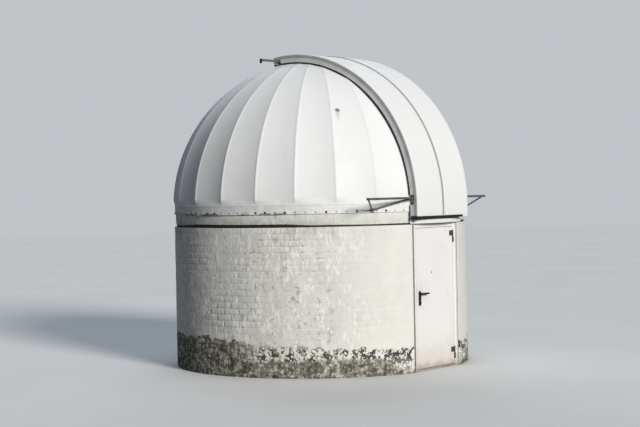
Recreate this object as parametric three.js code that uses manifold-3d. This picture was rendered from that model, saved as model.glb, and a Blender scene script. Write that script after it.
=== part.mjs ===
// Observatory dome: a round masonry wall with a steel door, and a turning dome of pressed
// gores over it, with two shutters that part sideways on straight rails.
// Millimetres, +Z up. The origin is on the ground, on the axis that the dome turns about.
// The door and the slit both face -Y.

import * as THREE from 'three';
import { mergeVertices } from 'three/addons/utils/BufferGeometryUtils.js';
import Module from 'manifold-3d';

const wasm = await Module();
wasm.setup();

// Fit between pieces that touch.
const seatGap = 0.3;

// Facets of everything that is round about the dome's axis, so that neighbours line up.
const ringFacets = 96;
const facetDegrees = 360 / ringFacets;

// Wall and floor.
const wallOuterRadius = 2082;
const wallInnerRadius = 1840;
const wallTop = 1975;
const wallSegments = 6;
const firstSegmentDegrees = 10;
const segmentFacets = 12;
const slabThickness = 50;
const slabFacets = 72;
const slabToWall = 1.8;

// Doorway, measured across from its own centre line and up from the ground.
const doorCentreX = -20;
const doorwayHalfWidth = 500;
const doorPlane = 2000;
const sillHeight = 25;
const lintelHalfLength = 580;
const lintelBottom = 1895;
const frameDepth = 100;
const frameFace = 60;
const frameHeadBottom = 1925;
const frameStop = { width: 90, thickness: 10, headHang: 25, toLeaf: 5 };

// Door leaf and its fittings.
const leafHingeEdge = 415;
const leafLockEdge = -453;
const leafBottom = 32;
const leafTop = 1919;
const leafThickness = 45;
const hingeAxis = { x: 417.5, y: -2010 };
const hingeHeights = { lower_hinge: 185, upper_hinge: 1790 };
const hingeBarrel = { radius: 9, halfLength: 85 };
const hingeStrap = { length: 75, height: 70, thickness: 5, inset: 8, toAxis: 2 };
const spindle = { x: -385, z: 1045, radius: 8, boreRadius: 9, sides: 16 };
const lever = { length: 150, heel: 12, halfHeight: 11, thickness: 14, reach: 50 };
const lockPlate = { halfWidth: 20, below: 165, above: 35, thickness: 8 };

// Dome.
const domeRadius = 2100;
const domeCentreZ = 2230;
const goreCount = 24;
const goreDip = 0.0165;
const panelThickness = 12;
const bandOuterRadius = 2080;
const bandInnerRadius = 2064;
const bandBottom = 2150;
const goreBottom = 2270;
const goreFull = 2370;
const goreRowStep = 9;
const goreFirstRow = 12;
const crownElevation = 83;

// Rings under the dome.
const baseRingInnerRadius = 1950;
const baseRingOuterRadius = 2049.7;
const baseRingBottom = 2050;
const baseRingTop = 2180;
const skirtInnerRadius = 2050;
const skirtOuterRadius = 2063.7;
const skirtBottom = 1995;
const skirtSheets = 4;

// Rollers on the wall's top.
const plateInnerRadius = 1900;
const plateOuterRadius = 2040;
const plateThickness = 10;
const plateFacets = 60;
const rollerCount = 6;
const roller = { radius: 25, halfWidth: 15, sides: 12 };
const axle = { radius: 9, halfLength: 32, sides: 6 };
const cheek = { width: 40, thickness: 8, fromMiddle: 26, overAxle: 14, sunk: 2 };

// Slit and the arch ribs beside it.
const slitHalfWidth = 500;
const ribThickness = 30;
const ribOuterRadius = 2058;
const ribInnerRadius = 1930;
const ribFacets = 24;
const slitRearY = 255;
const slitSill = { innerRadius: 2020, outerRadius: 2056, top: 2300 };
const header = { above: 8, below: 80, spreadDegrees: 20, facets: 12 };

// Shutters, as arcs about a cross axis through the dome's centre.
const shutterOuterRadius = 2145;
const shutterSheet = 12;
const shutterHalfWidth = 600;
const shutterTravel = 500;
const shutterBottom = 2060;
const shutterRearY = 310;
const shutterFacets = 26;
const shutterFacetSag = 2;
const seamHalfGap = 5;
const flangeInnerRadius = 2030;
const flangeThickness = 12;
const lipDepth = 35;
const rearPlateThickness = 11;
const rearPlateInset = 3;
const crossBarHalf = 30;
const shoe = { length: 50, thickness: 12, clearance: 1, reach: 8 };
const strip = { left: -14, right: 22, thickness: 7, lift: 5 };

// Rails and the brackets of the lower one. A bracket's foot is flat on a facet of the band.
const railSize = 30;
const railWall = 4;
const lowerRailZ = 2330;
const lowerRailLeftEnd = -1590;
const lowerRailRightEnd = 1140;
const upperRailY = 215;
const upperRailHalfLength = 985;
const railToBar = 8;
const bracketFoot = { z: 2180, width: 70, height: 60, thickness: 8 };
const bracketBar = { radius: 11, sides: 8, offBand: 14, fromRailEnd: 25, fromShutter: 25 };
const leftFootDegrees = 8.5 * facetDegrees;
const rightFootDegrees = 7.5 * facetDegrees;

// Half the side of a space that is cut away on all sides of the part.
const farAway = 3000;

const paint = {
  wall: new THREE.MeshStandardMaterial({ color: 0xd9d8d2, roughness: 0.92, metalness: 0 }),
  concrete: new THREE.MeshStandardMaterial({ color: 0x9b978f, roughness: 0.95, metalness: 0 }),
  dome: new THREE.MeshStandardMaterial({ color: 0xeef0f2, roughness: 0.45, metalness: 0 }),
  skirt: new THREE.MeshStandardMaterial({ color: 0xc4c6c0, roughness: 0.7, metalness: 0.2 }),
  steel: new THREE.MeshStandardMaterial({ color: 0x8c9094, roughness: 0.5, metalness: 0.7 }),
  door: new THREE.MeshStandardMaterial({ color: 0xeceaea, roughness: 0.5, metalness: 0.1 }),
  black: new THREE.MeshStandardMaterial({ color: 0x1b1b1c, roughness: 0.5, metalness: 0.1 }),
  seal: new THREE.MeshStandardMaterial({ color: 0x85888a, roughness: 0.8, metalness: 0 }),
};

const model = new THREE.Group();

const radians = THREE.MathUtils.degToRad;

// Solids and joins.

function solid(geometry) {
  const plain = geometry.index ? geometry.toNonIndexed() : geometry.clone();
  for (const name of Object.keys(plain.attributes)) {
    if (name !== 'position') plain.deleteAttribute(name);
  }
  const merged = mergeVertices(plain, 0.001);
  return new wasm.Manifold(new wasm.Mesh({
    numProp: 3,
    vertProperties: new Float32Array(merged.attributes.position.array),
    triVerts: new Uint32Array(merged.index.array),
  }));
}

function join(...pieces) {
  return pieces.reduce((whole, piece) => whole.add(piece));
}

function addNode(name, shape, material) {
  const mesh = shape.getMesh();
  const geometry = new THREE.BufferGeometry();
  geometry.setAttribute('position', new THREE.BufferAttribute(mesh.vertProperties, 3));
  geometry.setIndex(new THREE.BufferAttribute(mesh.triVerts, 1));
  geometry.computeVertexNormals();
  const node = new THREE.Mesh(geometry, material);
  node.name = name;
  model.add(node);
}

// A block between any two opposite corners.
function block(corner, opposite) {
  const size = opposite.map((value, axis) => Math.abs(value - corner[axis]));
  const middle = opposite.map((value, axis) => (value + corner[axis]) / 2);
  return solid(new THREE.BoxGeometry(...size).translate(...middle));
}

// A round bar between two points.
function bar(start, end, radius, sides = 12) {
  const from = new THREE.Vector3(...start);
  const along = new THREE.Vector3(...end).sub(from);
  const direction = along.clone().normalize();
  const turn = new THREE.Quaternion().setFromUnitVectors(new THREE.Vector3(0, 1, 0), direction);
  const geometry = new THREE.CylinderGeometry(radius, radius, along.length(), sides);
  geometry.translate(0, along.length() / 2, 0);
  geometry.applyQuaternion(turn);
  geometry.translate(...start);
  return solid(geometry);
}

// An upright round disc about the dome's axis.
function disc(radius, bottom, top) {
  const geometry = new THREE.CylinderGeometry(radius, radius, top - bottom, slabFacets);
  return solid(geometry.rotateX(Math.PI / 2).translate(0, 0, (top + bottom) / 2));
}

// Angles about the dome's axis are counted from the door, so 0 faces -Y and 90 faces +X.
function aroundAxis(degrees, radius, z) {
  return [radius * Math.sin(radians(degrees)), -radius * Math.cos(radians(degrees)), z];
}

// A shape's arc gets two facets for each of its curve segments.
function extrudeOutline(outline, depth, facets) {
  return new THREE.ExtrudeGeometry(outline, { depth, bevelEnabled: false, curveSegments: facets / 2 });
}

// A curved block that stands on a ring sector. The gap is kept at each end.
function ringSector(innerRadius, outerRadius, bottom, top, startDegrees, endDegrees, endGap, facets) {
  const frontOfShape = -90;
  const innerGap = endGap / innerRadius;
  const outerGap = endGap / outerRadius;
  const start = radians(startDegrees + frontOfShape);
  const end = radians(endDegrees + frontOfShape);
  const outline = new THREE.Shape();
  outline.absarc(0, 0, outerRadius, start + outerGap, end - outerGap, false);
  outline.absarc(0, 0, innerRadius, end - innerGap, start + innerGap, true);
  outline.closePath();
  return solid(extrudeOutline(outline, top - bottom, facets).translate(0, 0, bottom));
}

function fullRing(innerRadius, outerRadius, bottom, top, facets) {
  const profile = [
    new THREE.Vector2(innerRadius, bottom),
    new THREE.Vector2(outerRadius, bottom),
    new THREE.Vector2(outerRadius, top),
    new THREE.Vector2(innerRadius, top),
    new THREE.Vector2(innerRadius, bottom),
  ];
  return solid(new THREE.LatheGeometry(profile, facets).rotateX(Math.PI / 2));
}

// Outlines drawn in the plane of the slit, with forward as the first axis and up as the
// second, stood up and given a width from xLow to xHigh.
function slitPlate(outline, xLow, xHigh, facets) {
  const forward = new THREE.Vector3(0, -1, 0);
  const up = new THREE.Vector3(0, 0, 1);
  const across = new THREE.Vector3(-1, 0, 0);
  const geometry = extrudeOutline(outline, xHigh - xLow, facets);
  geometry.applyMatrix4(new THREE.Matrix4().makeBasis(forward, up, across));
  return solid(geometry.translate(xHigh, 0, 0));
}

// An arch strip: upright at the front, then an arc over the top to a point behind it.
function archOutline(innerRadius, outerRadius, bottom, rearY) {
  const rearAngle = Math.PI / 2 + Math.asin(rearY / outerRadius);
  const outline = new THREE.Shape();
  outline.moveTo(outerRadius, bottom);
  outline.lineTo(outerRadius, domeCentreZ);
  outline.absarc(0, domeCentreZ, outerRadius, 0, rearAngle, false);
  outline.absarc(0, domeCentreZ, innerRadius, rearAngle, 0, true);
  outline.lineTo(innerRadius, bottom);
  outline.closePath();
  return outline;
}

// How far a circle reaches beside a point that lies off its centre.
function chordReach(radius, offset) {
  return Math.sqrt(radius ** 2 - offset ** 2);
}

// Floor, wall and lintel.

const deepInside = -wallInnerRadius * 0.8;

function lintelBlock(grow) {
  const frameBack = -(doorPlane - frameDepth) + seatGap;
  const reach = lintelHalfLength + grow;
  return block(
    [doorCentreX - reach, frameBack - grow, lintelBottom - grow],
    [doorCentreX + reach, deepInside, wallTop + grow]);
}

function doorwayCut() {
  const reach = doorwayHalfWidth + seatGap;
  return block([doorCentreX - reach, -farAway, -farAway], [doorCentreX + reach, deepInside, farAway]);
}

function buildWall() {
  const step = (360 - 2 * firstSegmentDegrees) / wallSegments;
  for (let index = 0; index < wallSegments; index += 1) {
    const from = firstSegmentDegrees + index * step;
    let segment = ringSector(
      wallInnerRadius, wallOuterRadius, 0, wallTop, from, from + step, seatGap / 2, segmentFacets);
    if (index === 0 || index === wallSegments - 1) {
      segment = segment.subtract(doorwayCut()).subtract(lintelBlock(seatGap));
    }
    addNode(`wall_segment_${index + 1}`, segment, paint.wall);
  }
  const overDoor = 2 * firstSegmentDegrees;
  const sector = ringSector(
    wallInnerRadius, wallOuterRadius, lintelBottom, wallTop, -overDoor, overDoor, 0, segmentFacets);
  addNode('door_lintel', sector.intersect(lintelBlock(0)), paint.concrete);
}

function doorSill() {
  const reach = doorwayHalfWidth - seatGap;
  const step = block([doorCentreX - reach, -doorPlane, 0], [doorCentreX + reach, deepInside, sillHeight]);
  return step.subtract(disc(wallInnerRadius, -slabThickness, slabThickness));
}

// Steel door frame: jambs and head with a stop behind the leaf, and the fixed halves of the
// hinges.

function doorFrame() {
  const foot = sillHeight + seatGap;
  const headTop = wallTop - seatGap;
  const back = -(doorPlane - frameDepth);
  const stopFront = -(doorPlane - leafThickness - frameStop.toLeaf);
  const stopBack = stopFront + frameStop.thickness;
  const stopHead = frameHeadBottom - frameStop.headHang;
  const left = doorCentreX - doorwayHalfWidth;
  const right = doorCentreX + doorwayHalfWidth;
  const pieces = [
    block([left, -doorPlane, frameHeadBottom], [right, back, headTop]),
    block([left, stopFront, stopHead], [right, stopBack, headTop]),
  ];
  for (const [edge, inwards] of [[left, 1], [right, -1]]) {
    pieces.push(block([edge, -doorPlane, foot], [edge + inwards * frameFace, back, headTop]));
    pieces.push(block([edge, stopFront, foot], [edge + inwards * frameStop.width, stopBack, headTop]));
  }
  const { x, y } = hingeAxis;
  for (const height of Object.values(hingeHeights)) {
    const strapTop = height - hingeStrap.inset;
    pieces.push(bar([x, y, height - hingeBarrel.halfLength], [x, y, height - seatGap], hingeBarrel.radius));
    pieces.push(block(
      [x, y, strapTop - hingeStrap.height],
      [right - hingeStrap.inset, -doorPlane + 2, strapTop]));
  }
  return join(...pieces);
}

function spindleBore() {
  return bar([spindle.x, -farAway, spindle.z], [spindle.x, 0, spindle.z], spindle.boreRadius, spindle.sides);
}

function doorLeaf() {
  const leaf = block(
    [leafLockEdge, -doorPlane, leafBottom],
    [leafHingeEdge, -doorPlane + leafThickness, leafTop]);
  return leaf.subtract(spindleBore());
}

// The half of a hinge that turns with the leaf: a strap on the leaf's face and its barrel.
function leafHinge(height) {
  const faceY = -doorPlane - seatGap;
  const { x, y } = hingeAxis;
  const strapBottom = height + hingeStrap.inset;
  const barrel = bar([x, y, height], [x, y, height + hingeBarrel.halfLength], hingeBarrel.radius);
  const strap = block(
    [x - hingeStrap.length, faceY - hingeStrap.thickness, strapBottom],
    [x - hingeStrap.toAxis, faceY, strapBottom + hingeStrap.height]);
  return join(barrel, strap);
}

function handlePlate() {
  const faceY = -doorPlane - seatGap;
  const plate = block(
    [spindle.x - lockPlate.halfWidth, faceY - lockPlate.thickness, spindle.z - lockPlate.below],
    [spindle.x + lockPlate.halfWidth, faceY, spindle.z + lockPlate.above]);
  return plate.subtract(spindleBore());
}

// Both levers on their spindle, which passes through the leaf.
function leverHandle() {
  const outerFace = -doorPlane - seatGap - lockPlate.thickness;
  const innerFace = -doorPlane + leafThickness;
  const ends = [outerFace - lever.reach, innerFace + lever.reach];
  const pieces = [
    bar([spindle.x, ends[0], spindle.z], [spindle.x, ends[1], spindle.z], spindle.radius, spindle.sides),
  ];
  for (const [end, inwards] of [[ends[0], 1], [ends[1], -1]]) {
    pieces.push(block(
      [spindle.x - lever.heel, end, spindle.z - lever.halfHeight],
      [spindle.x + lever.length, end + inwards * lever.thickness, spindle.z + lever.halfHeight]));
  }
  return join(...pieces);
}

// Steel plate on the wall's top with the rollers that carry the dome.
function rollerPlate() {
  const bottom = wallTop + seatGap;
  const top = bottom + plateThickness;
  const axleZ = baseRingBottom - seatGap - roller.radius;
  const middle = (baseRingInnerRadius + baseRingOuterRadius) / 2;
  const cheekBottom = top - cheek.sunk;
  const cheekTop = axleZ + cheek.overAxle;
  const pieces = [fullRing(plateInnerRadius, plateOuterRadius, bottom, top, plateFacets)];
  for (let index = 0; index < rollerCount; index += 1) {
    const angle = (index + 0.5) * 360 / rollerCount;
    const onAxle = (fromMiddle) => aroundAxis(angle, middle + fromMiddle, axleZ);
    pieces.push(bar(onAxle(-roller.halfWidth), onAxle(roller.halfWidth), roller.radius, roller.sides));
    pieces.push(bar(onAxle(-axle.halfLength), onAxle(axle.halfLength), axle.radius, axle.sides));
    for (const side of [-1, 1]) {
      const plate = new THREE.BoxGeometry(cheek.width, cheek.thickness, cheekTop - cheekBottom);
      plate.translate(0, -(middle + side * cheek.fromMiddle), (cheekTop + cheekBottom) / 2);
      pieces.push(solid(plate.rotateZ(radians(angle))));
    }
  }
  return join(...pieces);
}

// Gores: each dips between its ridges, and runs out into the round band at its foot.

const goreStep = 360 / goreCount;

function goreRadius(degrees, elevation, radius, bandRadius) {
  const across = ((degrees % goreStep) + goreStep) % goreStep;
  const fromMiddle = (across - goreStep / 2) / (goreStep / 2);
  const dip = goreDip * (1 - fromMiddle * fromMiddle);
  const height = domeCentreZ + domeRadius * Math.sin(elevation);
  const share = THREE.MathUtils.smoothstep(height, goreBottom, goreFull);
  const gore = radius * Math.cos(elevation) * (1 - dip);
  return THREE.MathUtils.lerp(bandRadius, gore, share);
}

// Elevations of a gore's rows above the band.
function goreRows() {
  const elevations = [goreBottom, goreFull].map((z) => Math.asin((z - domeCentreZ) / domeRadius));
  for (let degrees = goreFirstRow; degrees < crownElevation; degrees += goreRowStep) {
    elevations.push(radians(degrees));
  }
  elevations.push(radians(crownElevation));
  return elevations;
}

// One face of a panel, as a grid of points: the band's foot first, then a row for each
// elevation. Half of the seat gap is kept at each end that meets another panel.
function panelFace(radius, bandRadius, columnDegrees, startDegrees, endDegrees) {
  const points = [];
  const addRow = (z, reachAt) => {
    for (const column of columnDegrees) {
      const reach = reachAt(column);
      const gap = (seatGap / 2) / reach;
      let angle = radians(column);
      if (column === startDegrees) angle += gap;
      if (column === endDegrees) angle -= gap;
      points.push(reach * Math.sin(angle), -reach * Math.cos(angle), z);
    }
  };
  addRow(bandBottom, () => bandRadius);
  for (const elevation of goreRows()) {
    const z = domeCentreZ + radius * Math.sin(elevation);
    addRow(z, (column) => goreRadius(column, elevation, radius, bandRadius));
  }
  return points;
}

function domePanel(startDegrees, endDegrees, columnDegrees) {
  const points = [
    ...panelFace(domeRadius, bandOuterRadius, columnDegrees, startDegrees, endDegrees),
    ...panelFace(domeRadius - panelThickness, bandInnerRadius, columnDegrees, startDegrees, endDegrees),
  ];
  const rows = goreRows().length + 1;
  const columns = columnDegrees.length;
  const lastRow = rows - 1;
  const lastColumn = columns - 1;
  const outer = (row, column) => row * columns + column;
  const inner = (row, column) => (rows + row) * columns + column;
  const faces = [];
  const quad = (a, b, c, d) => faces.push(a, b, c, a, c, d);
  for (let row = 0; row < lastRow; row += 1) {
    for (let column = 0; column < lastColumn; column += 1) {
      quad(outer(row, column), outer(row, column + 1), outer(row + 1, column + 1), outer(row + 1, column));
      quad(inner(row, column), inner(row + 1, column), inner(row + 1, column + 1), inner(row, column + 1));
    }
    quad(outer(row, 0), outer(row + 1, 0), inner(row + 1, 0), inner(row, 0));
    quad(
      outer(row, lastColumn), inner(row, lastColumn), inner(row + 1, lastColumn), outer(row + 1, lastColumn));
  }
  for (let column = 0; column < lastColumn; column += 1) {
    quad(outer(0, column), inner(0, column), inner(0, column + 1), outer(0, column + 1));
    quad(
      outer(lastRow, column), outer(lastRow, column + 1), inner(lastRow, column + 1), inner(lastRow, column));
  }
  const geometry = new THREE.BufferGeometry();
  geometry.setAttribute('position', new THREE.Float32BufferAttribute(points, 3));
  geometry.setIndex(faces);
  return solid(geometry);
}

// The space that the slit, its ribs and its header take out of the gores.
function slitCut() {
  const reach = slitHalfWidth + ribThickness + seatGap;
  const rear = slitRearY + ribThickness + seatGap;
  return block([-reach, -farAway, 0], [reach, rear, 2 * farAway]);
}

// The first and last panels start a little inside the slit and are cut back to its ribs.
function buildDomePanels() {
  const panelStep = 2 * goreStep;
  const panelCount = 360 / panelStep - 1;
  const columnStep = facetDegrees;
  const intoSlit = 3;
  for (let index = 0; index < panelCount; index += 1) {
    const start = goreStep + index * panelStep;
    const end = start + panelStep;
    const columns = [];
    for (let column = start; column <= end; column += columnStep) columns.push(column);
    const first = index === 0;
    const last = index === panelCount - 1;
    if (first) columns.unshift(start - intoSlit);
    if (last) columns.push(end + intoSlit);
    const panel = domePanel(first ? null : start, last ? null : end, columns);
    addNode(`dome_panel_${index + 1}`, panel.subtract(slitCut()), paint.dome);
  }
}

// Rings, skirt and the frame of the slit.

function buildRings() {
  const base = fullRing(baseRingInnerRadius, baseRingOuterRadius, baseRingBottom, baseRingTop, ringFacets);
  addNode('base_ring', base, paint.steel);
  const names = ['skirt_right', 'skirt_back', 'skirt_left', 'skirt_front'];
  const step = 360 / skirtSheets;
  names.forEach((name, index) => {
    const start = (index + 0.5) * step;
    const sheet = ringSector(
      skirtInnerRadius, skirtOuterRadius, skirtBottom, baseRingTop, start, start + step, seatGap / 2,
      ringFacets / skirtSheets);
    addNode(name, sheet, paint.skirt);
  });
}

function buildSlitFrame() {
  const outline = archOutline(
    ribInnerRadius, ribOuterRadius, baseRingTop + seatGap, slitRearY + ribThickness);
  const nearSide = slitHalfWidth;
  const farSide = slitHalfWidth + ribThickness;
  addNode('slit_rib_left', slitPlate(outline, -farSide, -nearSide, ribFacets), paint.dome);
  addNode('slit_rib_right', slitPlate(outline, nearSide, farSide, ribFacets), paint.dome);

  const reach = slitHalfWidth - seatGap;
  const sillEnds = Math.ceil(THREE.MathUtils.radToDeg(Math.asin(farSide / slitSill.innerRadius)));
  const sill = ringSector(
    slitSill.innerRadius, slitSill.outerRadius, baseRingTop + seatGap, slitSill.top,
    -sillEnds, sillEnds, 0, 8);
  const between = block([-reach, -farAway, 0], [reach, 0, farAway]);
  addNode('slit_sill', sill.intersect(between), paint.dome);
  addNode('slit_header', slitHeader(reach), paint.dome);
}

// A curved plate across the rear end of the slit, under the gores' edges.
function slitHeader(reach) {
  const rear = slitRearY + ribThickness;
  const domeAtHeader = chordReach(domeRadius, slitRearY + ribThickness / 2);
  const spread = radians(header.spreadDegrees);
  const arc = new THREE.Shape();
  arc.absarc(0, 0, domeAtHeader + header.above, Math.PI / 2 - spread, Math.PI / 2 + spread, false);
  arc.absarc(0, 0, domeAtHeader - header.below, Math.PI / 2 + spread, Math.PI / 2 - spread, true);
  arc.closePath();
  const plate = extrudeOutline(arc, ribThickness, header.facets);
  plate.rotateX(Math.PI / 2);
  plate.translate(0, rear, domeCentreZ);
  return solid(plate).intersect(block([-reach, 0, 0], [reach, farAway, 2 * farAway]));
}

// Rails: the lower one lies on the fronts of the ribs, the upper one on their tops.

const ribFaceAtRail = chordReach(ribOuterRadius, lowerRailZ - railSize / 2 - domeCentreZ);
const lowerRailInner = -(ribFaceAtRail + seatGap);
const lowerRailOuter = lowerRailInner - railSize;
const ribTopAtRail = chordReach(ribOuterRadius, upperRailY - railSize / 2);
const upperRailBottom = domeCentreZ + ribTopAtRail + seatGap;
const upperRailTop = upperRailBottom + railSize;

function squareTube(xLow, xHigh, middleY, middleZ) {
  const stretch = (half, past) => block(
    [xLow - past, middleY - half, middleZ - half],
    [xHigh + past, middleY + half, middleZ + half]);
  return stretch(railSize / 2, 0).subtract(stretch(railSize / 2 - railWall, railSize));
}

// A triangle of two bars from a foot on the band: one out to the end of the rail, one back
// to the rail beside the shutter. Both meet the rail's inner face only.
function railBracket(side, railEnd, footDegrees) {
  const bandFace = bandOuterRadius * Math.cos(radians(facetDegrees / 2)) + seatGap;
  const { thickness, z } = bracketFoot;
  const foot = aroundAxis(side * footDegrees, bandFace + bracketBar.offBand, z);
  const plate = new THREE.BoxGeometry(bracketFoot.width, thickness, bracketFoot.height);
  plate.translate(0, -(bandFace + thickness / 2), z);
  const { radius, sides } = bracketBar;
  const railFace = lowerRailInner + seatGap;
  const pastFace = block([-farAway, railFace - 400, 0], [farAway, railFace, farAway]);
  const meetY = railFace - radius / 2;
  const outEnd = [side * (railEnd - bracketBar.fromRailEnd), meetY, lowerRailZ];
  const backEnd = [side * (shutterHalfWidth + bracketBar.fromShutter), meetY, lowerRailZ - 3];
  return join(
    solid(plate.rotateZ(radians(side * footDegrees))),
    bar(foot, outEnd, radius, sides),
    bar(foot, backEnd, radius, sides),
  ).subtract(pastFace);
}

function buildRails() {
  const lowerMiddle = (lowerRailInner + lowerRailOuter) / 2;
  const lowerRail = squareTube(lowerRailLeftEnd, lowerRailRightEnd, lowerMiddle, lowerRailZ);
  addNode('lower_rail', lowerRail, paint.steel);
  const upperMiddle = (upperRailBottom + upperRailTop) / 2;
  const upperRail = squareTube(-upperRailHalfLength, upperRailHalfLength, upperRailY, upperMiddle);
  addNode('upper_rail', upperRail, paint.steel);
  addNode('rail_bracket_left', railBracket(-1, -lowerRailLeftEnd, leftFootDegrees), paint.steel);
  addNode('rail_bracket_right', railBracket(1, lowerRailRightEnd, rightFootDegrees), paint.steel);
}

// Shutters. The right half is drawn, and the left half is its mirror image.

const shutterInnerRadius = shutterOuterRadius - shutterSheet;

// The sheet with a lip turned in at its foot and a plate that closes it at the rear.
function shutterSkin() {
  const outline = archOutline(shutterInnerRadius, shutterOuterRadius, shutterBottom, shutterRearY);
  const sheet = slitPlate(outline, seamHalfGap, shutterHalfWidth, shutterFacets);
  const lipEnd = shutterHalfWidth - flangeThickness - seatGap;
  const lip = block(
    [seamHalfGap, -shutterOuterRadius + 1, shutterBottom],
    [lipEnd, -shutterOuterRadius + lipDepth, shutterBottom + shutterSheet]);
  const plateBack = shutterRearY - rearPlateInset;
  const plateFront = plateBack - rearPlateThickness;
  const plateTop = domeCentreZ + chordReach(shutterInnerRadius, shutterRearY) + 5;
  const rearPlate = block([seamHalfGap, plateFront, domeCentreZ], [lipEnd, plateBack, plateTop]);
  const overDome = chordReach(domeRadius, plateFront) + 15;
  const clearance = new THREE.CylinderGeometry(overDome, overDome, 200, 120);
  clearance.translate(0, shutterRearY, domeCentreZ);
  return join(sheet, lip, rearPlate.subtract(solid(clearance)));
}

// Shoes that hold a rail from three sides. They hang on a cross bar behind the sheet, which
// gripBlock places from the rail outwards: along the rail, beside it, and away from it.
function railShoes(gripBlock) {
  const outerShoeStart = upperRailHalfLength - shutterTravel - shoe.length - 15;
  const grip = railSize / 2 + shoe.clearance;
  const outerGrip = grip + shoe.thickness;
  const pieces = [];
  for (const start of [seamHalfGap + 25, outerShoeStart]) {
    const end = start + shoe.length;
    for (const side of [-1, 1]) {
      pieces.push(gripBlock(start, end, side * grip, side * outerGrip, shoe.reach - railSize));
    }
    pieces.push(gripBlock(start, end, -outerGrip, outerGrip, seatGap));
  }
  return join(...pieces);
}

// The side flange with two cross bars behind the sheet, and the shoes on the bars.
function shutterFrame() {
  const outline = archOutline(
    flangeInnerRadius, shutterInnerRadius - seatGap, shutterBottom, shutterRearY);
  const flangeLow = shutterHalfWidth - flangeThickness;
  const past = 5;
  const lowerNotch = block(
    [flangeLow - past, lowerRailOuter - 18, lowerRailZ - 90],
    [shutterHalfWidth + past, -ribInnerRadius, lowerRailZ + 40]);
  const upperNotch = block(
    [flangeLow - past, upperRailY - 25, upperRailBottom - 250],
    [shutterHalfWidth + past, upperRailY + 25, upperRailTop + railToBar]);
  const flange = slitPlate(outline, flangeLow, shutterHalfWidth, shutterFacets)
    .subtract(lowerNotch)
    .subtract(upperNotch);

  const barStart = seamHalfGap + 25;
  const barEnd = flangeLow + 2;
  const underSheet = (offset) => chordReach(shutterInnerRadius, offset) - seatGap - shutterFacetSag;
  const upperBarTop = domeCentreZ + underSheet(upperRailY + crossBarHalf);
  const upperBarBottom = upperRailTop + railToBar;
  const lowerBarFront = -underSheet(lowerRailZ + crossBarHalf - domeCentreZ);
  const lowerBarBack = lowerRailOuter - railToBar;
  const upperShoes = railShoes((start, end, near, far, away) => block(
    [start, upperRailY + near, upperRailTop + away],
    [end, upperRailY + far, upperBarBottom + 2]));
  const lowerShoes = railShoes((start, end, near, far, away) => block(
    [start, lowerBarBack - 2, lowerRailZ + near],
    [end, lowerRailOuter - away, lowerRailZ + far]));
  return join(
    flange,
    block(
      [barStart, upperRailY - crossBarHalf, upperBarBottom],
      [barEnd, upperRailY + crossBarHalf, upperBarTop]),
    block(
      [barStart, lowerBarFront, lowerRailZ - crossBarHalf],
      [barEnd, lowerBarBack, lowerRailZ + crossBarHalf]),
    upperShoes,
    lowerShoes,
  );
}

// The strip that covers the joint between the halves rides on the right half, and stands
// clear of the left one.
function seamStrip() {
  const foot = shutterOuterRadius + seatGap;
  const outline = archOutline(foot, foot + strip.thickness, shutterBottom, shutterRearY);
  const { lift } = strip;
  const overLeft = archOutline(
    shutterInnerRadius, shutterOuterRadius + lift, shutterBottom - lift, shutterRearY + lift);
  return slitPlate(outline, strip.left, strip.right, shutterFacets)
    .subtract(slitPlate(overLeft, 2 * strip.left, seamHalfGap, shutterFacets));
}

function buildShutters() {
  const skin = shutterSkin();
  const frame = shutterFrame();
  addNode('right_shutter_skin', skin, paint.dome);
  addNode('right_shutter_frame', frame, paint.dome);
  addNode('left_shutter_skin', skin.mirror([1, 0, 0]), paint.dome);
  addNode('left_shutter_frame', frame.mirror([1, 0, 0]), paint.dome);
  addNode('shutter_seam_strip', seamStrip(), paint.seal);
}

addNode('floor_slab', disc(wallInnerRadius - slabToWall, 0, slabThickness), paint.concrete);
addNode('door_sill', doorSill(), paint.concrete);
buildWall();
addNode('door_frame', doorFrame(), paint.door);
addNode('door_leaf', doorLeaf(), paint.door);
for (const [name, height] of Object.entries(hingeHeights)) {
  addNode(name, leafHinge(height), paint.steel);
}
addNode('handle_plate', handlePlate(), paint.black);
addNode('lever_handle', leverHandle(), paint.black);
addNode('roller_plate', rollerPlate(), paint.steel);
buildRings();
buildDomePanels();
buildSlitFrame();
buildRails();
buildShutters();

export default model;
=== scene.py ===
import itertools
import math

import bpy
import numpy as np
from mathutils import Matrix, Vector


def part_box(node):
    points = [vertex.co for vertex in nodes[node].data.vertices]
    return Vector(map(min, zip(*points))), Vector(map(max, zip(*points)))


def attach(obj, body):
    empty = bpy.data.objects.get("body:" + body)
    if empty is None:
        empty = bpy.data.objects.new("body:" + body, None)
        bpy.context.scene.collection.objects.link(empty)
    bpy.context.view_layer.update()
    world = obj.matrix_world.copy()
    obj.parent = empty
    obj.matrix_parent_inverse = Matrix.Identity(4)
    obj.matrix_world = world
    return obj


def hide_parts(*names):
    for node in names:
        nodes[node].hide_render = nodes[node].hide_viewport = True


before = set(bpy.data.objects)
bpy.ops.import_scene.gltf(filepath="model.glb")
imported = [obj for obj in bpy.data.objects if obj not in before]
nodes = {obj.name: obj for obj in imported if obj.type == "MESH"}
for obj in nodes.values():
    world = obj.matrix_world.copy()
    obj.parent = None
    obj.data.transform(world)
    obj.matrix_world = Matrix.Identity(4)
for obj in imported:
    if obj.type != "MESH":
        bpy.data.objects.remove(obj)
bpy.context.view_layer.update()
print("frame loaded:", len(nodes), "nodes")


# sizes that several pieces share, read from the frame where it has them

def radiiOf(nodeName):
    reach = [math.hypot(v.co.x, v.co.y) for v in nodes[nodeName].data.vertices]
    return min(reach), max(reach)


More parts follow.
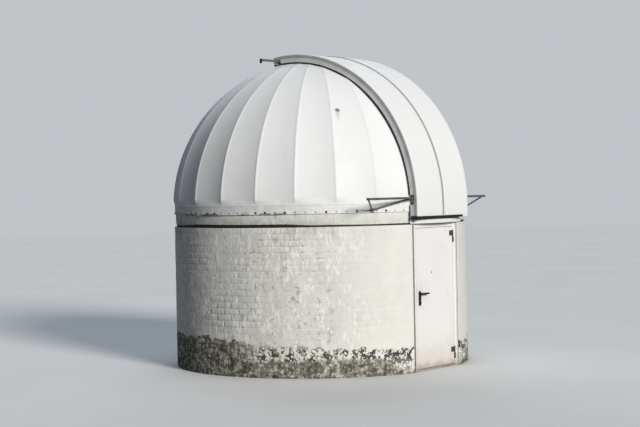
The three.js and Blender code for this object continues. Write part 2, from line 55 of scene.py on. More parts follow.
domeCentre = 2.23  # height of the point that the gores bend round
domeRadius = 2.1
boltStep = 3.75  # degrees between the bolts of the band
boltHeight = 2.172
bracketFeet = (28.125, -31.875)  # degrees, midway between two bolts of the band
seat = 0.0003  # gap where one piece rests on another
wallOuter = radiiOf("wall_segment_3")[1]
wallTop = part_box("wall_segment_3")[1].z
frameLow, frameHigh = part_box("door_frame")
leafLow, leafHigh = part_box("door_leaf")
leafFace = leafLow.y - seat
skirtInner, skirtOuter = radiiOf("skirt_back")
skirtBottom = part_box("skirt_back")[0].z
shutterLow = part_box("left_shutter_skin")[0]
shutterRadius = -shutterLow.y
shutterSheet = 0.012


# places: about the dome's axis, and where fittings stand

facingFront = Matrix(((1, 0, 0, 0), (0, 0, -1, 0), (0, 1, 0, 0), (0, 0, 0, 1)))  # Y goes up, Z to the front


def aroundAxis(degrees, radius, z):
    angle = math.radians(degrees)
    return Vector((radius * math.sin(angle), -radius * math.cos(angle), z))


def outwards(degrees, elevation=0.0):
    # direction away from the axis, turned up by the elevation
    lift = math.radians(elevation)
    return aroundAxis(degrees, math.cos(lift), math.sin(lift))


def onRings(reach, radians, z):
    # a point for each reach, angle and height, which may be rows, columns or one number
    return np.stack(np.broadcast_arrays(reach * np.sin(radians), -reach * np.cos(radians), z), axis=-1)


def placeAt(spot, direction=(0, 0, 1), turn=0.0):
    # local Z along the direction, at the spot
    aim = Vector(direction).normalized().to_track_quat("Z", "Y").to_matrix().to_4x4()
    return Matrix.Translation(Vector(spot)) @ aim @ Matrix.Rotation(turn, 4, "Z")


# numbers that vary smoothly over space, the same at every run

hashing = {"axes": (73856093, 19349663, 83492791), "seed": (7919, 17), "mixers": (1274126177, 668265263),
           "keep": 0x7FFFFFFF, "steps": 0xFFFF}


def hashedValue(cell, seed):
    # between 0 and 1 for each cell, given by three whole numbers
    first, second, third = (cell[..., axis] * prime for axis, prime in enumerate(hashing["axes"]))
    mixed = first ^ second ^ third ^ (seed * hashing["seed"][0] + hashing["seed"][1])
    for shift, mixer in zip((13, 16), hashing["mixers"]):
        mixed = (mixed ^ (mixed >> shift)) * mixer & hashing["keep"]
    return (mixed & hashing["steps"]) / hashing["steps"]


def softNoise(points, scale, seed=0):
    # between -1 and 1, with features of about 1 / scale
    scaled = np.asarray(points, float) * scale
    cell = np.floor(scaled).astype(np.int64)
    part = scaled - cell
    blend = part * part * (3 - 2 * part)
    total = np.zeros(scaled.shape[:-1])
    for corner in itertools.product((0, 1), repeat=3):
        weight = np.prod(np.where(np.array(corner) == 1, blend, 1 - blend), axis=-1)
        total += weight * hashedValue(cell + np.array(corner), seed)
    return total * 2 - 1


def stoneEdges(across, up, size, seed=0):
    # 0 at the joints between rubble stones of about this size, rising to 1 well inside them
    spot = np.stack([across / size, up / size], axis=-1)
    cell = np.floor(spot).astype(np.int64)
    nearest = np.full(across.shape, 9.0)
    second = np.full(across.shape, 9.0)
    for step in itertools.product((-1, 0, 1), repeat=2):
        there = cell + np.array(step)
        key = np.concatenate([there, np.zeros(there.shape[:-1] + (1,), np.int64)], axis=-1)
        # a stone's middle lies anywhere in its cell apart from a margin of 0.15
        centre = there + 0.15 + 0.7 * np.stack([hashedValue(key, seed), hashedValue(key, seed + 1)], axis=-1)
        away = np.hypot(spot[..., 0] - centre[..., 0], spot[..., 1] - centre[..., 1])
        second = np.minimum(second, np.maximum(nearest, away))
        nearest = np.minimum(nearest, away)
    return smoothRise(second - nearest, 0.03, 0.4)


def smoothRise(value, low, high):
    share = np.clip((value - low) / (high - low), 0, 1)
    return share * share * (3 - 2 * share)


def smoothFall(value, low, high):
    return 1 - smoothRise(value, low, high)


def fromLeast(least, share):
    # a share between 0 and 1, squeezed into what lies between the least value and 1
    return least + (1 - least) * share


# node trees

class Wiring:
    # short ways to place nodes in one tree; a value is either a number or another node's output
    def __init__(self, tree):
        self.tree = tree

    def node(self, kind, inputs=None, **settings):
        made = self.tree.nodes.new(kind)
        for key, value in settings.items():
            setattr(made, key, value)
        for key, value in (inputs or {}).items():
            self.feed(made.inputs[key], value)
        return made

    def feed(self, socket, value):
        if isinstance(value, bpy.types.NodeSocket):
            self.tree.links.new(value, socket)
        else:
            socket.default_value = value

    def maths(self, operation, first, second=0.0):
        return self.node("ShaderNodeMath", {0: first, 1: second}, operation=operation).outputs[0]

    def plus(self, first, second):
        return self.maths("ADD", first, second)

    def minus(self, first, second):
        return self.maths("SUBTRACT", first, second)

    def times(self, first, *others):
        for other in others:
            first = self.maths("MULTIPLY", first, other)
        return first

    def swing(self, field, amount):
        # noise as a push of either sign
        return self.times(self.minus(field, 0.5), amount)

    def vector(self, operation, *values):
        made = self.node("ShaderNodeVectorMath", dict(enumerate(values)), operation=operation)
        return made.outputs["Value" if operation in ("DOT_PRODUCT", "DISTANCE", "LENGTH") else "Vector"]

    def axes(self, vector):
        return self.node("ShaderNodeSeparateXYZ", {0: vector}).outputs

    def mix(self, share, first, second):
        # sockets 6 and 7 take the two colours, and output 2 gives their mix
        made = self.node("ShaderNodeMix", {0: share, 6: first, 7: second}, data_type="RGBA")
        return made.outputs[2]

    def lay(self, base, tone, mask, share):
        # a colour over the base where the mask is, at most by this share
        return self.mix(self.times(mask, share), base, tone)

    def rise(self, value, low, high, start=0.0, end=1.0):
        made = self.node("ShaderNodeMapRange", {"Value": value, "From Min": low, "From Max": high,
                                                "To Min": start, "To Max": end},
                         interpolation_type="SMOOTHSTEP")
        return made.outputs[0]

    def fall(self, value, low, high):
        return self.rise(value, low, high, 1.0, 0.0)

    def noise(self, vector, scale, detail=4.0, roughness=0.55, distortion=0.0):
        made = self.node("ShaderNodeTexNoise", {"Vector": vector, "Scale": scale, "Detail": detail,
                                                "Roughness": roughness, "Distortion": distortion})
        return made.outputs[0]

    def mottle(self, vector, scale, detail, low, high, roughness=0.55, distortion=0.0, start=0.0, end=1.0):
        # goes from start to end where the noise goes from low to high
        return self.rise(self.noise(vector, scale, detail, roughness, distortion), low, high, start, end)

    def group(self, tree, vector, **numbers):
        made = self.node("ShaderNodeGroup", node_tree=tree)
        self.feed(made.inputs["Vector"], vector)
        for key, value in numbers.items():
            self.feed(made.inputs[key], value)
        return made.outputs[0]


def newGroup(name, numbers, result):
    # takes a place and the named numbers, and puts out one value
    tree = bpy.data.node_groups.new(name, "ShaderNodeTree")
    tree.interface.new_socket(name="Vector", in_out="INPUT", socket_type="NodeSocketVector")
    for key, value in numbers.items():
        socket = tree.interface.new_socket(name=key, in_out="INPUT", socket_type="NodeSocketFloat")
        socket.default_value = value
    tree.interface.new_socket(name=result, in_out="OUTPUT", socket_type="NodeSocketFloat")
    wiring = Wiring(tree)
    return wiring, wiring.node("NodeGroupInput").outputs, wiring.node("NodeGroupOutput").inputs[result]


def makeBlotches():
    # uneven patches: 1 where the noise is above its threshold
    wiring, given, out = newGroup("blotches", {"Scale": 5.0, "Detail": 5.0, "Low": 0.45, "High": 0.6}, "Mask")
    field = wiring.noise(given["Vector"], given["Scale"], given["Detail"], 0.6, 0.3)
    wiring.feed(out, wiring.rise(field, given["Low"], given["High"]))
    return wiring.tree


def makeRuns():
    # dirt that rain has drawn down a wall: narrow, upright and broken
    wiring, given, out = newGroup("runs", {"Density": 9.0, "Length": 0.6, "Low": 0.52, "High": 0.72}, "Mask")
    upright = wiring.node("ShaderNodeCombineXYZ", {
        "X": given["Density"], "Y": given["Density"],
        "Z": wiring.maths("DIVIDE", 1.0, given["Length"])}).outputs[0]
    fine = wiring.noise(wiring.vector("MULTIPLY", given["Vector"], upright), 1.0, 6.0, 0.62)
    broad = wiring.noise(given["Vector"], 1.3, 2.0)
    both = wiring.plus(fine, wiring.swing(broad, 0.5))
    wiring.feed(out, wiring.rise(both, given["Low"], given["High"]))
    return wiring.tree


def makeSplash():
    # what rises from a line: splashed soil at the ground or dirt that collects on a ledge
    wiring, given, out = newGroup("splash", {"Line": 0.0, "Reach": 0.3, "Raggedness": 0.6}, "Mask")
    height = wiring.axes(given["Vector"])[2]
    away = wiring.maths("ABSOLUTE", wiring.minus(height, given["Line"]))
    share = wiring.maths("DIVIDE", away, given["Reach"])
    ragged = wiring.swing(wiring.noise(given["Vector"], 7.0, 6.0, 0.6), given["Raggedness"])
    wiring.feed(out, wiring.fall(wiring.plus(share, ragged), 0.0, 1.0))
    return wiring.tree


def makeBoltStains():
    # rust and damp below each bolt of the band, stronger at some of them
    numbers = {"Step": math.radians(boltStep), "Height": boltHeight, "Reach": 0.16, "Width": 0.05}
    wiring, given, out = newGroup("boltStains", numbers, "Mask")
    x, y, z = wiring.axes(given["Vector"])
    angle = wiring.maths("ARCTAN2", x, wiring.times(y, -1.0))
    steps = wiring.maths("DIVIDE", angle, given["Step"])
    nearest = wiring.maths("ROUND", steps)
    sideways = wiring.maths("ABSOLUTE", wiring.minus(steps, nearest))
    wobble = wiring.times(wiring.noise(given["Vector"], 30.0, 3.0), 0.05)
    narrow = wiring.fall(wiring.minus(sideways, wobble), 0.0, given["Width"])
    drop = wiring.minus(given["Height"], z)
    under = wiring.maths("GREATER_THAN", drop, -0.012)
    strength = wiring.node("ShaderNodeTexWhiteNoise", {"W": nearest}, noise_dimensions="1D").outputs[0]
    below = wiring.fall(drop, 0.0, wiring.times(given["Reach"], strength))
    wiring.feed(out, wiring.times(narrow, below, under, wiring.rise(strength, 0.25, 0.8)))
    return wiring.tree


def makeGrain():
    # the fine unevenness of a cast, rolled or rendered face
    wiring, given, out = newGroup("grain", {"Coarse": 12.0, "Fine": 180.0, "FineShare": 0.3}, "Height")
    coarse = wiring.noise(given["Vector"], given["Coarse"], 3.0, 0.5)
    fine = wiring.noise(given["Vector"], given["Fine"], 4.0, 0.6)
    coarseShare = wiring.minus(1.0, given["FineShare"])
    wiring.feed(out, wiring.plus(wiring.times(coarse, coarseShare), wiring.times(fine, given["FineShare"])))
    return wiring.tree


blotches = makeBlotches()
runs = makeRuns()
splash = makeSplash()
boltStains = makeBoltStains()
grain = makeGrain()


def colour(red, green, blue):
    return (red, green, blue, 1.0)


def newMaterial(name, **fixed):
    # a material with one shader, and the numbers that are the same all over set on its own sockets
    material = bpy.data.materials.new(name)
    material.use_nodes = True
    wiring = Wiring(material.node_tree)
    material.node_tree.nodes.clear()
    shader = wiring.node("ShaderNodeBsdfPrincipled")
    out = wiring.node("ShaderNodeOutputMaterial")
    wiring.feed(out.inputs["Surface"], shader.outputs[0])
    for key, value in fixed.items():
        shader.inputs[key.replace("_", " ")].default_value = value
    place = wiring.node("ShaderNodeTexCoord").outputs["Object"]
    return material, wiring, shader.inputs, place


def bumpFrom(wiring, height, distance, strength, normal=None):
    inputs = {"Height": height, "Distance": distance, "Strength": strength}
    if normal is not None:
        inputs["Normal"] = normal
    return wiring.node("ShaderNodeBump", inputs).outputs[0]


def grainNormal(wiring, place, look):
    surface = wiring.group(grain, place, **look["grain"])
    return bumpFrom(wiring, surface, look["grainDepth"], look["grainStrength"])


def sideExposure(wiring, place, sheltered):
    # from the sheltered share in front of the door up to 1 on the sides that the weather reaches
    x, y = wiring.axes(place)[:2]
    flat = wiring.node("ShaderNodeCombineXYZ", {"X": x, "Y": y}).outputs[0]
    reach = wiring.maths("MAXIMUM", wiring.vector("LENGTH", flat), 0.1)
    facing = wiring.maths("DIVIDE", wiring.times(y, -1.0), reach)
    return wiring.rise(facing, 0.9, 0.3, sheltered, 1.0)


# shell of the dome and of the shutters: white gel coat, a little chalky, grey where rain runs off

loneBolt = {
    "azimuth": -42.0, "elevation": 38.2, "reach": 0.9865, "size": 0.026, "foot": -0.008,
    "cap": [(0.9, 0.35), (0.4, 0.6), (0, 0.65)],  # across and up, in shares of its size
    "smearHalf": 0.04, "smearTop": -0.02, "smearEnd": 0.24, "smearCut": -0.03, "smearRagged": 0.02,
    "smearShare": 0.6, "ringInner": 0.025, "ringOuter": 0.05,
}


def loneBoltPlace():
    normal = outwards(loneBolt["azimuth"], loneBolt["elevation"])
    return Vector((0, 0, domeCentre)) + normal * (domeRadius * loneBolt["reach"]), normal


def loneSmear(wiring, place):
    # smear below the lone bolt: narrow, fading downwards, with a faint ring round the bolt
    away = wiring.vector("SUBTRACT", place, loneBoltPlace()[0])
    down = outwards(loneBolt["azimuth"], loneBolt["elevation"] - 90)
    below = wiring.vector("DOT_PRODUCT", away, down)
    aside = wiring.maths("ABSOLUTE", wiring.vector("DOT_PRODUCT", away, outwards(loneBolt["azimuth"] + 90)))
    aside = wiring.plus(aside, wiring.swing(wiring.noise(place, 30.0, 3.0), loneBolt["smearRagged"]))
    smear = wiring.times(wiring.fall(aside, 0.0, loneBolt["smearHalf"]),
                         wiring.fall(below, loneBolt["smearTop"], loneBolt["smearEnd"]),
                         wiring.maths("GREATER_THAN", below, loneBolt["smearCut"]))
    ring = wiring.fall(wiring.vector("LENGTH", away), loneBolt["ringInner"], loneBolt["ringOuter"])
    return wiring.maths("MAXIMUM", wiring.times(smear, loneBolt["smearShare"]), ring)


def makeShellMaterial(name, look):
    material, wiring, sockets, place = newMaterial(name, Specular_IOR_Level=0.22, Coat_Roughness=0.35)
    exposed = sideExposure(wiring, place, look["sheltered"])
    patches = wiring.group(blotches, place, **look["patches"])
    base = wiring.lay(look["clean"], look["dull"], patches, look["patchShare"])
    streaks = wiring.times(wiring.group(runs, place, **look["streaks"]), exposed)
    base = wiring.lay(base, look["dirt"], streaks, look["streakShare"])
    crumbs = wiring.mottle(place, **look["crumbs"])
    foot = wiring.times(wiring.group(splash, place, **look["foot"]), crumbs, exposed)
    base = wiring.lay(base, look["dirt"], foot, look["footShare"])
    if look["stains"]:
        stain = wiring.times(wiring.group(boltStains, place, **look["stains"]), exposed)
        base = wiring.lay(base, look["rust"], stain, look["stainShare"])
        base = wiring.lay(base, look["soot"], loneSmear(wiring, place), look["sootShare"])
    specks = wiring.group(blotches, place, **look["specks"])
    base = wiring.lay(base, look["dirt"], specks, look["speckShare"])
    if look["lip"]:
        # dark marks in broken lengths along the lip under the bolts, on the most exposed sides
        line = wiring.group(splash, place, Line=look["lip"], Reach=0.016, Raggedness=0.5)
        broken = wiring.group(blotches, place, Scale=5.5, Detail=3.0, Low=0.50, High=0.56)
        worst = wiring.times(broken, wiring.rise(exposed, 0.75, 1.0))
        base = wiring.lay(base, look["rust"], wiring.times(line, worst), look["lipShare"])
    wiring.feed(sockets["Base Color"], base)
    wiring.feed(sockets["Roughness"], wiring.rise(patches, 0.0, 1.0, look["gloss"], look["gloss"] + 0.14))
    wiring.feed(sockets["Coat Weight"], wiring.rise(streaks, 0.0, 1.0, look["coat"], 0.0))
    wiring.feed(sockets["Normal"], grainNormal(wiring, place, look))
    return material


shellLook = {
    "clean": colour(0.86, 0.87, 0.88), "dull": colour(0.82, 0.835, 0.845), "dirt": colour(0.46, 0.47, 0.43),
    "rust": colour(0.13, 0.09, 0.06), "soot": colour(0.24, 0.24, 0.23),
    "patches": {"Scale": 1.7, "Low": 0.35, "High": 0.75}, "patchShare": 0.7,
    "streaks": {"Density": 7.0, "Length": 0.9, "Low": 0.5, "High": 0.8}, "streakShare": 0.10,
    "foot": {"Line": 2.15, "Reach": 0.30, "Raggedness": 0.9}, "footShare": 0.5,
    "crumbs": {"scale": 14.0, "detail": 6.0, "low": 0.3, "high": 0.65},
    "specks": {"Scale": 34.0, "Detail": 2.0, "Low": 0.7, "High": 0.76}, "speckShare": 0.35,
    "stains": {"Height": boltHeight, "Reach": 0.03, "Width": 0.16}, "stainShare": 0.6, "sootShare": 0.85,
    "lip": 2.158, "lipShare": 0.85, "gloss": 0.55, "coat": 0.04, "sheltered": 0.5,
    "grain": {"Coarse": 5.0, "Fine": 90.0, "FineShare": 0.12}, "grainDepth": 0.004, "grainStrength": 0.35,
}
shutterLook = dict(shellLook, clean=colour(0.86, 0.865, 0.87), streakShare=0.12,
                   foot={"Line": 2.06, "Reach": 0.12, "Raggedness": 0.9}, stains=None, lip=None)
skirtLook = dict(shellLook, clean=colour(0.76, 0.76, 0.73), dull=colour(0.66, 0.66, 0.62),
                 dirt=colour(0.25, 0.255, 0.215), streaks=dict(shellLook["streaks"], Density=13.0),
                 streakShare=0.7, foot={"Line": 1.99, "Reach": 0.16, "Raggedness": 0.9}, footShare=0.75,
                 gloss=0.6, coat=0.0, sheltered=0.3,
                 stains={"Height": boltHeight, "Reach": 0.13, "Width": 0.15}, lip=2.146)
whiteShell = makeShellMaterial("whiteShell", shellLook)
whiteShutter = makeShellMaterial("whiteShutter", shutterLook)
weatheredSkirt = makeShellMaterial("weatheredSkirt", skirtLook)


def makeMetal(name, look):
    # painted or bare metal with dirt in its low spots and rust that breaks through
    material, wiring, sockets, place = newMaterial(name, Metallic=look["metallic"], Specular_IOR_Level=0.5)
    patches = wiring.group(blotches, place, Scale=look["patchScale"], Low=0.35, High=0.7)
    rust = wiring.group(blotches, place, Scale=look["rustScale"], Detail=8.0,
                        Low=look["rustFrom"], High=look["rustFrom"] + 0.08)
    base = wiring.mix(patches, look["bright"], look["dark"])
    wiring.feed(sockets["Base Color"], wiring.lay(base, look["rust"], rust, look["rustShare"]))
    worn = wiring.rise(wiring.plus(patches, rust), 0.0, 1.6, look["gloss"], look["gloss"] + 0.3)
    wiring.feed(sockets["Roughness"], worn)
    wiring.feed(sockets["Normal"], grainNormal(wiring, place, look))
    return material


railLook = {
    "metallic": 0.15, "bright": colour(0.14, 0.143, 0.147), "dark": colour(0.08, 0.08, 0.08),
    "rust": colour(0.16, 0.085, 0.045), "patchScale": 14.0, "rustScale": 22.0, "rustFrom": 0.56,
    "rustShare": 0.7, "gloss": 0.45,
    "grain": {"Coarse": 25.0, "Fine": 260.0, "FineShare": 0.5}, "grainDepth": 0.0012, "grainStrength": 0.4,
}
ringLook = dict(railLook, metallic=0.7, bright=colour(0.46, 0.47, 0.48), dark=colour(0.34, 0.35, 0.36),
                rustFrom=0.63, rustShare=0.5)
flangeLook = dict(railLook, metallic=0.0, bright=colour(0.74, 0.75, 0.745), dark=colour(0.64, 0.655, 0.645),
                  patchScale=5.0, rustScale=16.0, rustFrom=0.64, rustShare=0.4, gloss=0.5)
trimLook = dict(flangeLook, bright=colour(0.46, 0.465, 0.46), dark=colour(0.34, 0.345, 0.34))
boltLook = dict(railLook, metallic=0.3, bright=colour(0.52, 0.52, 0.51), dark=colour(0.34, 0.335, 0.32),
                rustFrom=0.6, rustShare=0.5, patchScale=40.0)
rustedLook = dict(boltLook, bright=colour(0.12, 0.085, 0.06), dark=colour(0.05, 0.04, 0.035), rustFrom=0.45)
hingeLook = dict(railLook, bright=colour(0.10, 0.10, 0.10), dark=colour(0.055, 0.055, 0.055), rustFrom=0.6)
brightLook = dict(railLook, metallic=1.0, bright=colour(0.62, 0.60, 0.56), dark=colour(0.5, 0.48, 0.44),
                  rustFrom=0.75, gloss=0.3)
railSteel = makeMetal("railSteel", railLook)
ringSteel = makeMetal("ringSteel", ringLook)
flangePaint = makeMetal("flangePaint", flangeLook)
trimPaint = makeMetal("trimPaint", trimLook)
boltSteel = makeMetal("boltSteel", boltLook)
rustedSteel = makeMetal("rustedSteel", rustedLook)
hingeSteel = makeMetal("hingeSteel", hingeLook)
brightSteel = makeMetal("brightSteel", brightLook)


rubberLook = {
    "dust": {"Scale": 18.0, "Low": 0.4, "High": 0.75}, "dustShare": 0.6,
    "grain": {"Coarse": 60.0, "Fine": 400.0, "FineShare": 0.5}, "grainDepth": 0.0008, "grainStrength": 0.5,
}


def makeRubber(name, base, worn, roughness):
    material, wiring, sockets, place = newMaterial(name, Specular_IOR_Level=0.35)
    dusty = wiring.group(blotches, place, **rubberLook["dust"])
    wiring.feed(sockets["Base Color"], wiring.lay(base, worn, dusty, rubberLook["dustShare"]))
    wiring.feed(sockets["Roughness"], wiring.rise(dusty, 0.0, 1.0, roughness, roughness + 0.2))
    wiring.feed(sockets["Normal"], grainNormal(wiring, place, rubberLook))
    return material


blackRubber = makeRubber("blackRubber", colour(0.014, 0.014, 0.014), colour(0.06, 0.058, 0.052), 0.6)
blackFitting = makeRubber("blackFitting", colour(0.012, 0.012, 0.013), colour(0.03, 0.03, 0.03), 0.32)
# grey of the seam's strip, partly its own colour and partly painted shade for the gap between the shutters
seamSealAndShade = makeRubber("seamSealAndShade", colour(0.42, 0.43, 0.43), colour(0.32, 0.325, 0.32), 0.6)
mastic = makeRubber("mastic", colour(0.13, 0.128, 0.12), colour(0.28, 0.275, 0.26), 0.7)


doorLook = {
    "clean": colour(0.89, 0.885, 0.88), "dull": colour(0.85, 0.84, 0.835), "grime": colour(0.36, 0.33, 0.29),
    "soil": colour(0.56, 0.42, 0.34), "mud": colour(0.20, 0.17, 0.12),
    "patches": {"Scale": 2.6, "Low": 0.3, "High": 0.75},
    "streaks": {"Density": 10.0, "Length": 0.8, "Low": 0.55, "High": 0.8}, "streakShare": 0.16,
    "splashed": {"Line": 0.0, "Reach": 0.55, "Raggedness": 0.7}, "soilShare": 0.42,
    "lowest": {"Line": 0.0, "Reach": 0.14, "Raggedness": 1.1}, "mudShare": 0.55,
    "touchedAt": (-0.36, -2.0, 1.02), "touchedInner": 0.06, "touchedOuter": 0.3, "touchedShare": 0.3,
    "smudges": {"scale": 16.0, "detail": 5.0, "low": 0.35, "high": 0.7},
    "grain": {"Coarse": 9.0, "Fine": 320.0, "FineShare": 0.15}, "grainDepth": 0.0015, "grainStrength": 0.4,
}


def makeDoorPaint(look):
    # off-white sheet steel, soiled round the lever and splashed with soil at its foot
    material, wiring, sockets, place = newMaterial("doorPaint", Specular_IOR_Level=0.4)
    patches = wiring.group(blotches, place, **look["patches"])
    base = wiring.mix(patches, look["clean"], look["dull"])
    base = wiring.lay(base, look["grime"], wiring.group(runs, place, **look["streaks"]), look["streakShare"])
    splashed = wiring.group(splash, place, **look["splashed"])
    base = wiring.lay(base, look["soil"], splashed, look["soilShare"])
    base = wiring.lay(base, look["mud"], wiring.group(splash, place, **look["lowest"]), look["mudShare"])
    fromLever = wiring.vector("DISTANCE", place, look["touchedAt"])
    touched = wiring.times(wiring.fall(fromLever, look["touchedInner"], look["touchedOuter"]),
                           wiring.mottle(place, **look["smudges"]))
    wiring.feed(sockets["Base Color"], wiring.lay(base, look["grime"], touched, look["touchedShare"]))
    wiring.feed(sockets["Roughness"], wiring.rise(wiring.plus(patches, splashed), 0.0, 2.0, 0.42, 0.75))
    wiring.feed(sockets["Normal"], grainNormal(wiring, place, look))
    return material


doorPaint = makeDoorPaint(doorLook)


concreteLook = {
    "pale": colour(0.42, 0.405, 0.37), "dark": colour(0.31, 0.30, 0.28), "damp": colour(0.16, 0.155, 0.14),
    "patches": {"Scale": 2.2, "Low": 0.3, "High": 0.7},
    "wet": {"Scale": 0.9, "Detail": 8.0, "Low": 0.52, "High": 0.62}, "wetShare": 0.4,
    "poreScale": 70.0, "poreShare": 0.5, "poreDepth": 0.002, "poreStrength": 0.5,
    "grain": {"Coarse": 20.0, "Fine": 200.0, "FineShare": 0.4}, "grainDepth": 0.004, "grainStrength": 0.6,
}


def makeConcrete(look):
    material, wiring, sockets, place = newMaterial("concrete", Specular_IOR_Level=0.3)
    base = wiring.mix(wiring.group(blotches, place, **look["patches"]), look["pale"], look["dark"])
    wet = wiring.group(blotches, place, **look["wet"])
    base = wiring.lay(base, look["damp"], wet, look["wetShare"])
    pores = wiring.node("ShaderNodeTexVoronoi", {"Vector": place, "Scale": look["poreScale"]})
    pits = wiring.rise(pores.outputs["Distance"], 0.06, 0.2)
    base = wiring.lay(base, look["damp"], wiring.minus(1.0, pits), look["poreShare"])
    wiring.feed(sockets["Base Color"], base)
    wiring.feed(sockets["Roughness"], wiring.rise(wet, 0.0, 1.0, 0.95, 0.7))
    rough = grainNormal(wiring, place, look)
    wiring.feed(sockets["Normal"], bumpFrom(wiring, pits, look["poreDepth"], look["poreStrength"], rough))
    return material


concrete = makeConcrete(concreteLook)


# brickwork under layers of white paint that flake where the weather reaches it

masonryLook = {
    "paint": colour(0.82, 0.81, 0.785), "paintWarm": colour(0.79, 0.775, 0.735),
    "paintGrey": colour(0.71, 0.715, 0.685), "greyShare": 0.35,
    "warm": {"scale": 5.0, "detail": 6.0, "roughness": 0.6, "low": 0.3, "high": 0.7},
    "grey": {"scale": 1.1, "detail": 3.0, "low": 0.4, "high": 0.7},
    "film": colour(0.58, 0.585, 0.56), "filmShare": 0.5,
    "filmPatches": {"Scale": 3.2, "Detail": 8.0, "Low": 0.36, "High": 0.62},
    "filmStreaks": {"Density": 8.0, "Length": 0.5, "Low": 0.44, "High": 0.68},
    "chalk": colour(0.90, 0.89, 0.84), "chalkShare": 0.95, "flakeStretch": (1.0, 1.0, 0.4),
    "flakes": {"Scale": 22.0, "Detail": 6.0, "Low": 0.51, "High": 0.54},
    "bigFlakes": {"Scale": 4.5, "Detail": 9.0, "Low": 0.42, "High": 0.50},
    "bareGrey": colour(0.56, 0.545, 0.50), "bareRed": colour(0.50, 0.37, 0.31),
    "mortar": colour(0.33, 0.32, 0.285), "redAt": (-1.83, -1.01, 1.07), "peelLimit": 0.61,
    "shelteredLimit": 0.80, "peelShare": 0.7, "pockShare": 0.45,
    "bareMortar": {"scale": 40.0, "detail": 3.0, "low": 0.4, "high": 0.7, "end": 0.5},
    "crowded": {"scale": 2.4, "detail": 4.0, "low": 0.42, "high": 0.62},
    "pocks": {"scale": 34.0, "detail": 5.0, "roughness": 0.7, "low": 0.57, "high": 0.61},
    "jointDirt": {"scale": 6.0, "detail": 4.0, "low": 0.35, "high": 0.65},
    "stone": colour(0.26, 0.24, 0.185), "stonePale": colour(0.50, 0.475, 0.39),
    "moss": colour(0.035, 0.035, 0.02), "rubbleScale": 17.0, "rubbleBend": (0.09, 0.09, 0.09),
    "climb": 1.5, "crumbShare": 0.45, "footShare": 0.98,
    "pale": {"scale": 11.0, "detail": 5.0, "low": 0.4, "high": 0.62},
    "crumbs": {"scale": 15.0, "detail": 7.0, "roughness": 0.65, "low": 0.51, "high": 0.55},
    "mossy": {"scale": 10.0, "detail": 8.0, "roughness": 0.7, "distortion": 0.4, "low": 0.50, "high": 0.57},
    "limed": {"scale": 24.0, "detail": 5.0, "low": 0.40, "high": 0.48},
    "gapWidth": {"scale": 13.0, "detail": 4.0, "low": 0.38, "high": 0.62, "start": -0.05, "end": 0.205},
    "drips": {"Line": wallTop, "Reach": 0.22, "Raggedness": 1.3},
    "grain": {"Coarse": 16.0, "Fine": 150.0, "FineShare": 0.4}, "grainDepth": 0.006, "grainStrength": 0.5,
    "flakeDepth": 0.0045, "flakeStrength": 0.8, "pockDepth": 0.003, "pockStrength": 0.6,
}


def paintedFace(wiring, look, place, upright, marks):
    # paint, the grey film over it in patches and in runs, and cleaner chalky flakes on the film
    base = wiring.mix(wiring.mottle(place, **look["warm"]), look["paint"], look["paintWarm"])
    base = wiring.lay(base, look["paintGrey"], wiring.mottle(place, **look["grey"]), look["greyShare"])
    streaks = wiring.group(runs, place, **look["filmStreaks"])
    film = wiring.maths("MAXIMUM", wiring.group(blotches, place, **look["filmPatches"]), streaks)
    base = wiring.lay(base, look["film"], wiring.times(film, marks["weather"]), look["filmShare"])
    flakes = wiring.group(blotches, upright, **look["flakes"])
    bigFlakes = wiring.group(blotches, upright, **look["bigFlakes"])
    chalk = wiring.times(flakes, bigFlakes, wiring.rise(marks["weather"], 0.1, 0.6))
    return wiring.lay(base, look["chalk"], chalk, look["chalkShare"]), streaks, chalk


def bareFace(wiring, look, place, base, marks):
    # bare patches down to brick and mortar, pocks, and joints that hold dirt
    weather = marks["weather"]
    fromRed = wiring.vector("DISTANCE", place, look["redAt"])
    field = wiring.plus(wiring.noise(place, 12.0, 5.0, 0.58, 0.2), wiring.rise(fromRed, 0.0, 0.22, 0.09, 0.0))
    limit = wiring.rise(weather, 0.0, 1.0, look["shelteredLimit"], look["peelLimit"])
    peel = wiring.rise(wiring.minus(field, limit), 0.0, 0.015)
    redShare = wiring.maths("MAXIMUM", wiring.rise(marks["brick"], 0.93, 0.97, 0.0, 0.5),
                            wiring.fall(fromRed, 0.1, 0.3))
    bare = wiring.mix(redShare, look["bareGrey"], look["bareRed"])
    bare = wiring.mix(wiring.mottle(place, **look["bareMortar"]), bare, look["mortar"])
    base = wiring.lay(base, bare, peel, look["peelShare"])
    crowded = wiring.mottle(place, **look["crowded"])
    pocks = wiring.times(wiring.mottle(place, **look["pocks"]), crowded, weather)
    base = wiring.lay(base, look["mortar"], pocks, look["pockShare"])
    jointDirt = wiring.times(marks["joint"], wiring.mottle(place, **look["jointDirt"]),
                             wiring.rise(weather, 0.0, 1.0, 0.05, 0.32))
    return wiring.mix(jointDirt, base, look["mortar"]), peel, pocks


def rubbleGaps(wiring, look, place, wash):
    # dark gaps between the stones, widest at mid height and where there is no whitewash
    wobble = wiring.node("ShaderNodeTexNoise", {"Vector": place, "Scale": 16.0, "Detail": 3.0})
    bent = wiring.vector("MULTIPLY_ADD", wobble.outputs["Color"], look["rubbleBend"], place)
    toEdge = wiring.node("ShaderNodeTexVoronoi", {"Vector": bent, "Scale": look["rubbleScale"]},
                         feature="DISTANCE_TO_EDGE").outputs["Distance"]
    width = wiring.mottle(place, **look["gapWidth"])
    height = wiring.axes(place)[2]
    fromTop = wiring.rise(height, 0.46, 0.33, 0.25, 1.0)
    fromSoil = wiring.rise(height, 0.08, 0.24, 0.4, 1.0)
    return wiring.times(wiring.fall(wiring.minus(toEdge, width), -0.02, 0.05),
                        wiring.maths("MAXIMUM", wiring.fall(wash, 0.0, 0.5), wiring.times(fromTop, fromSoil)))


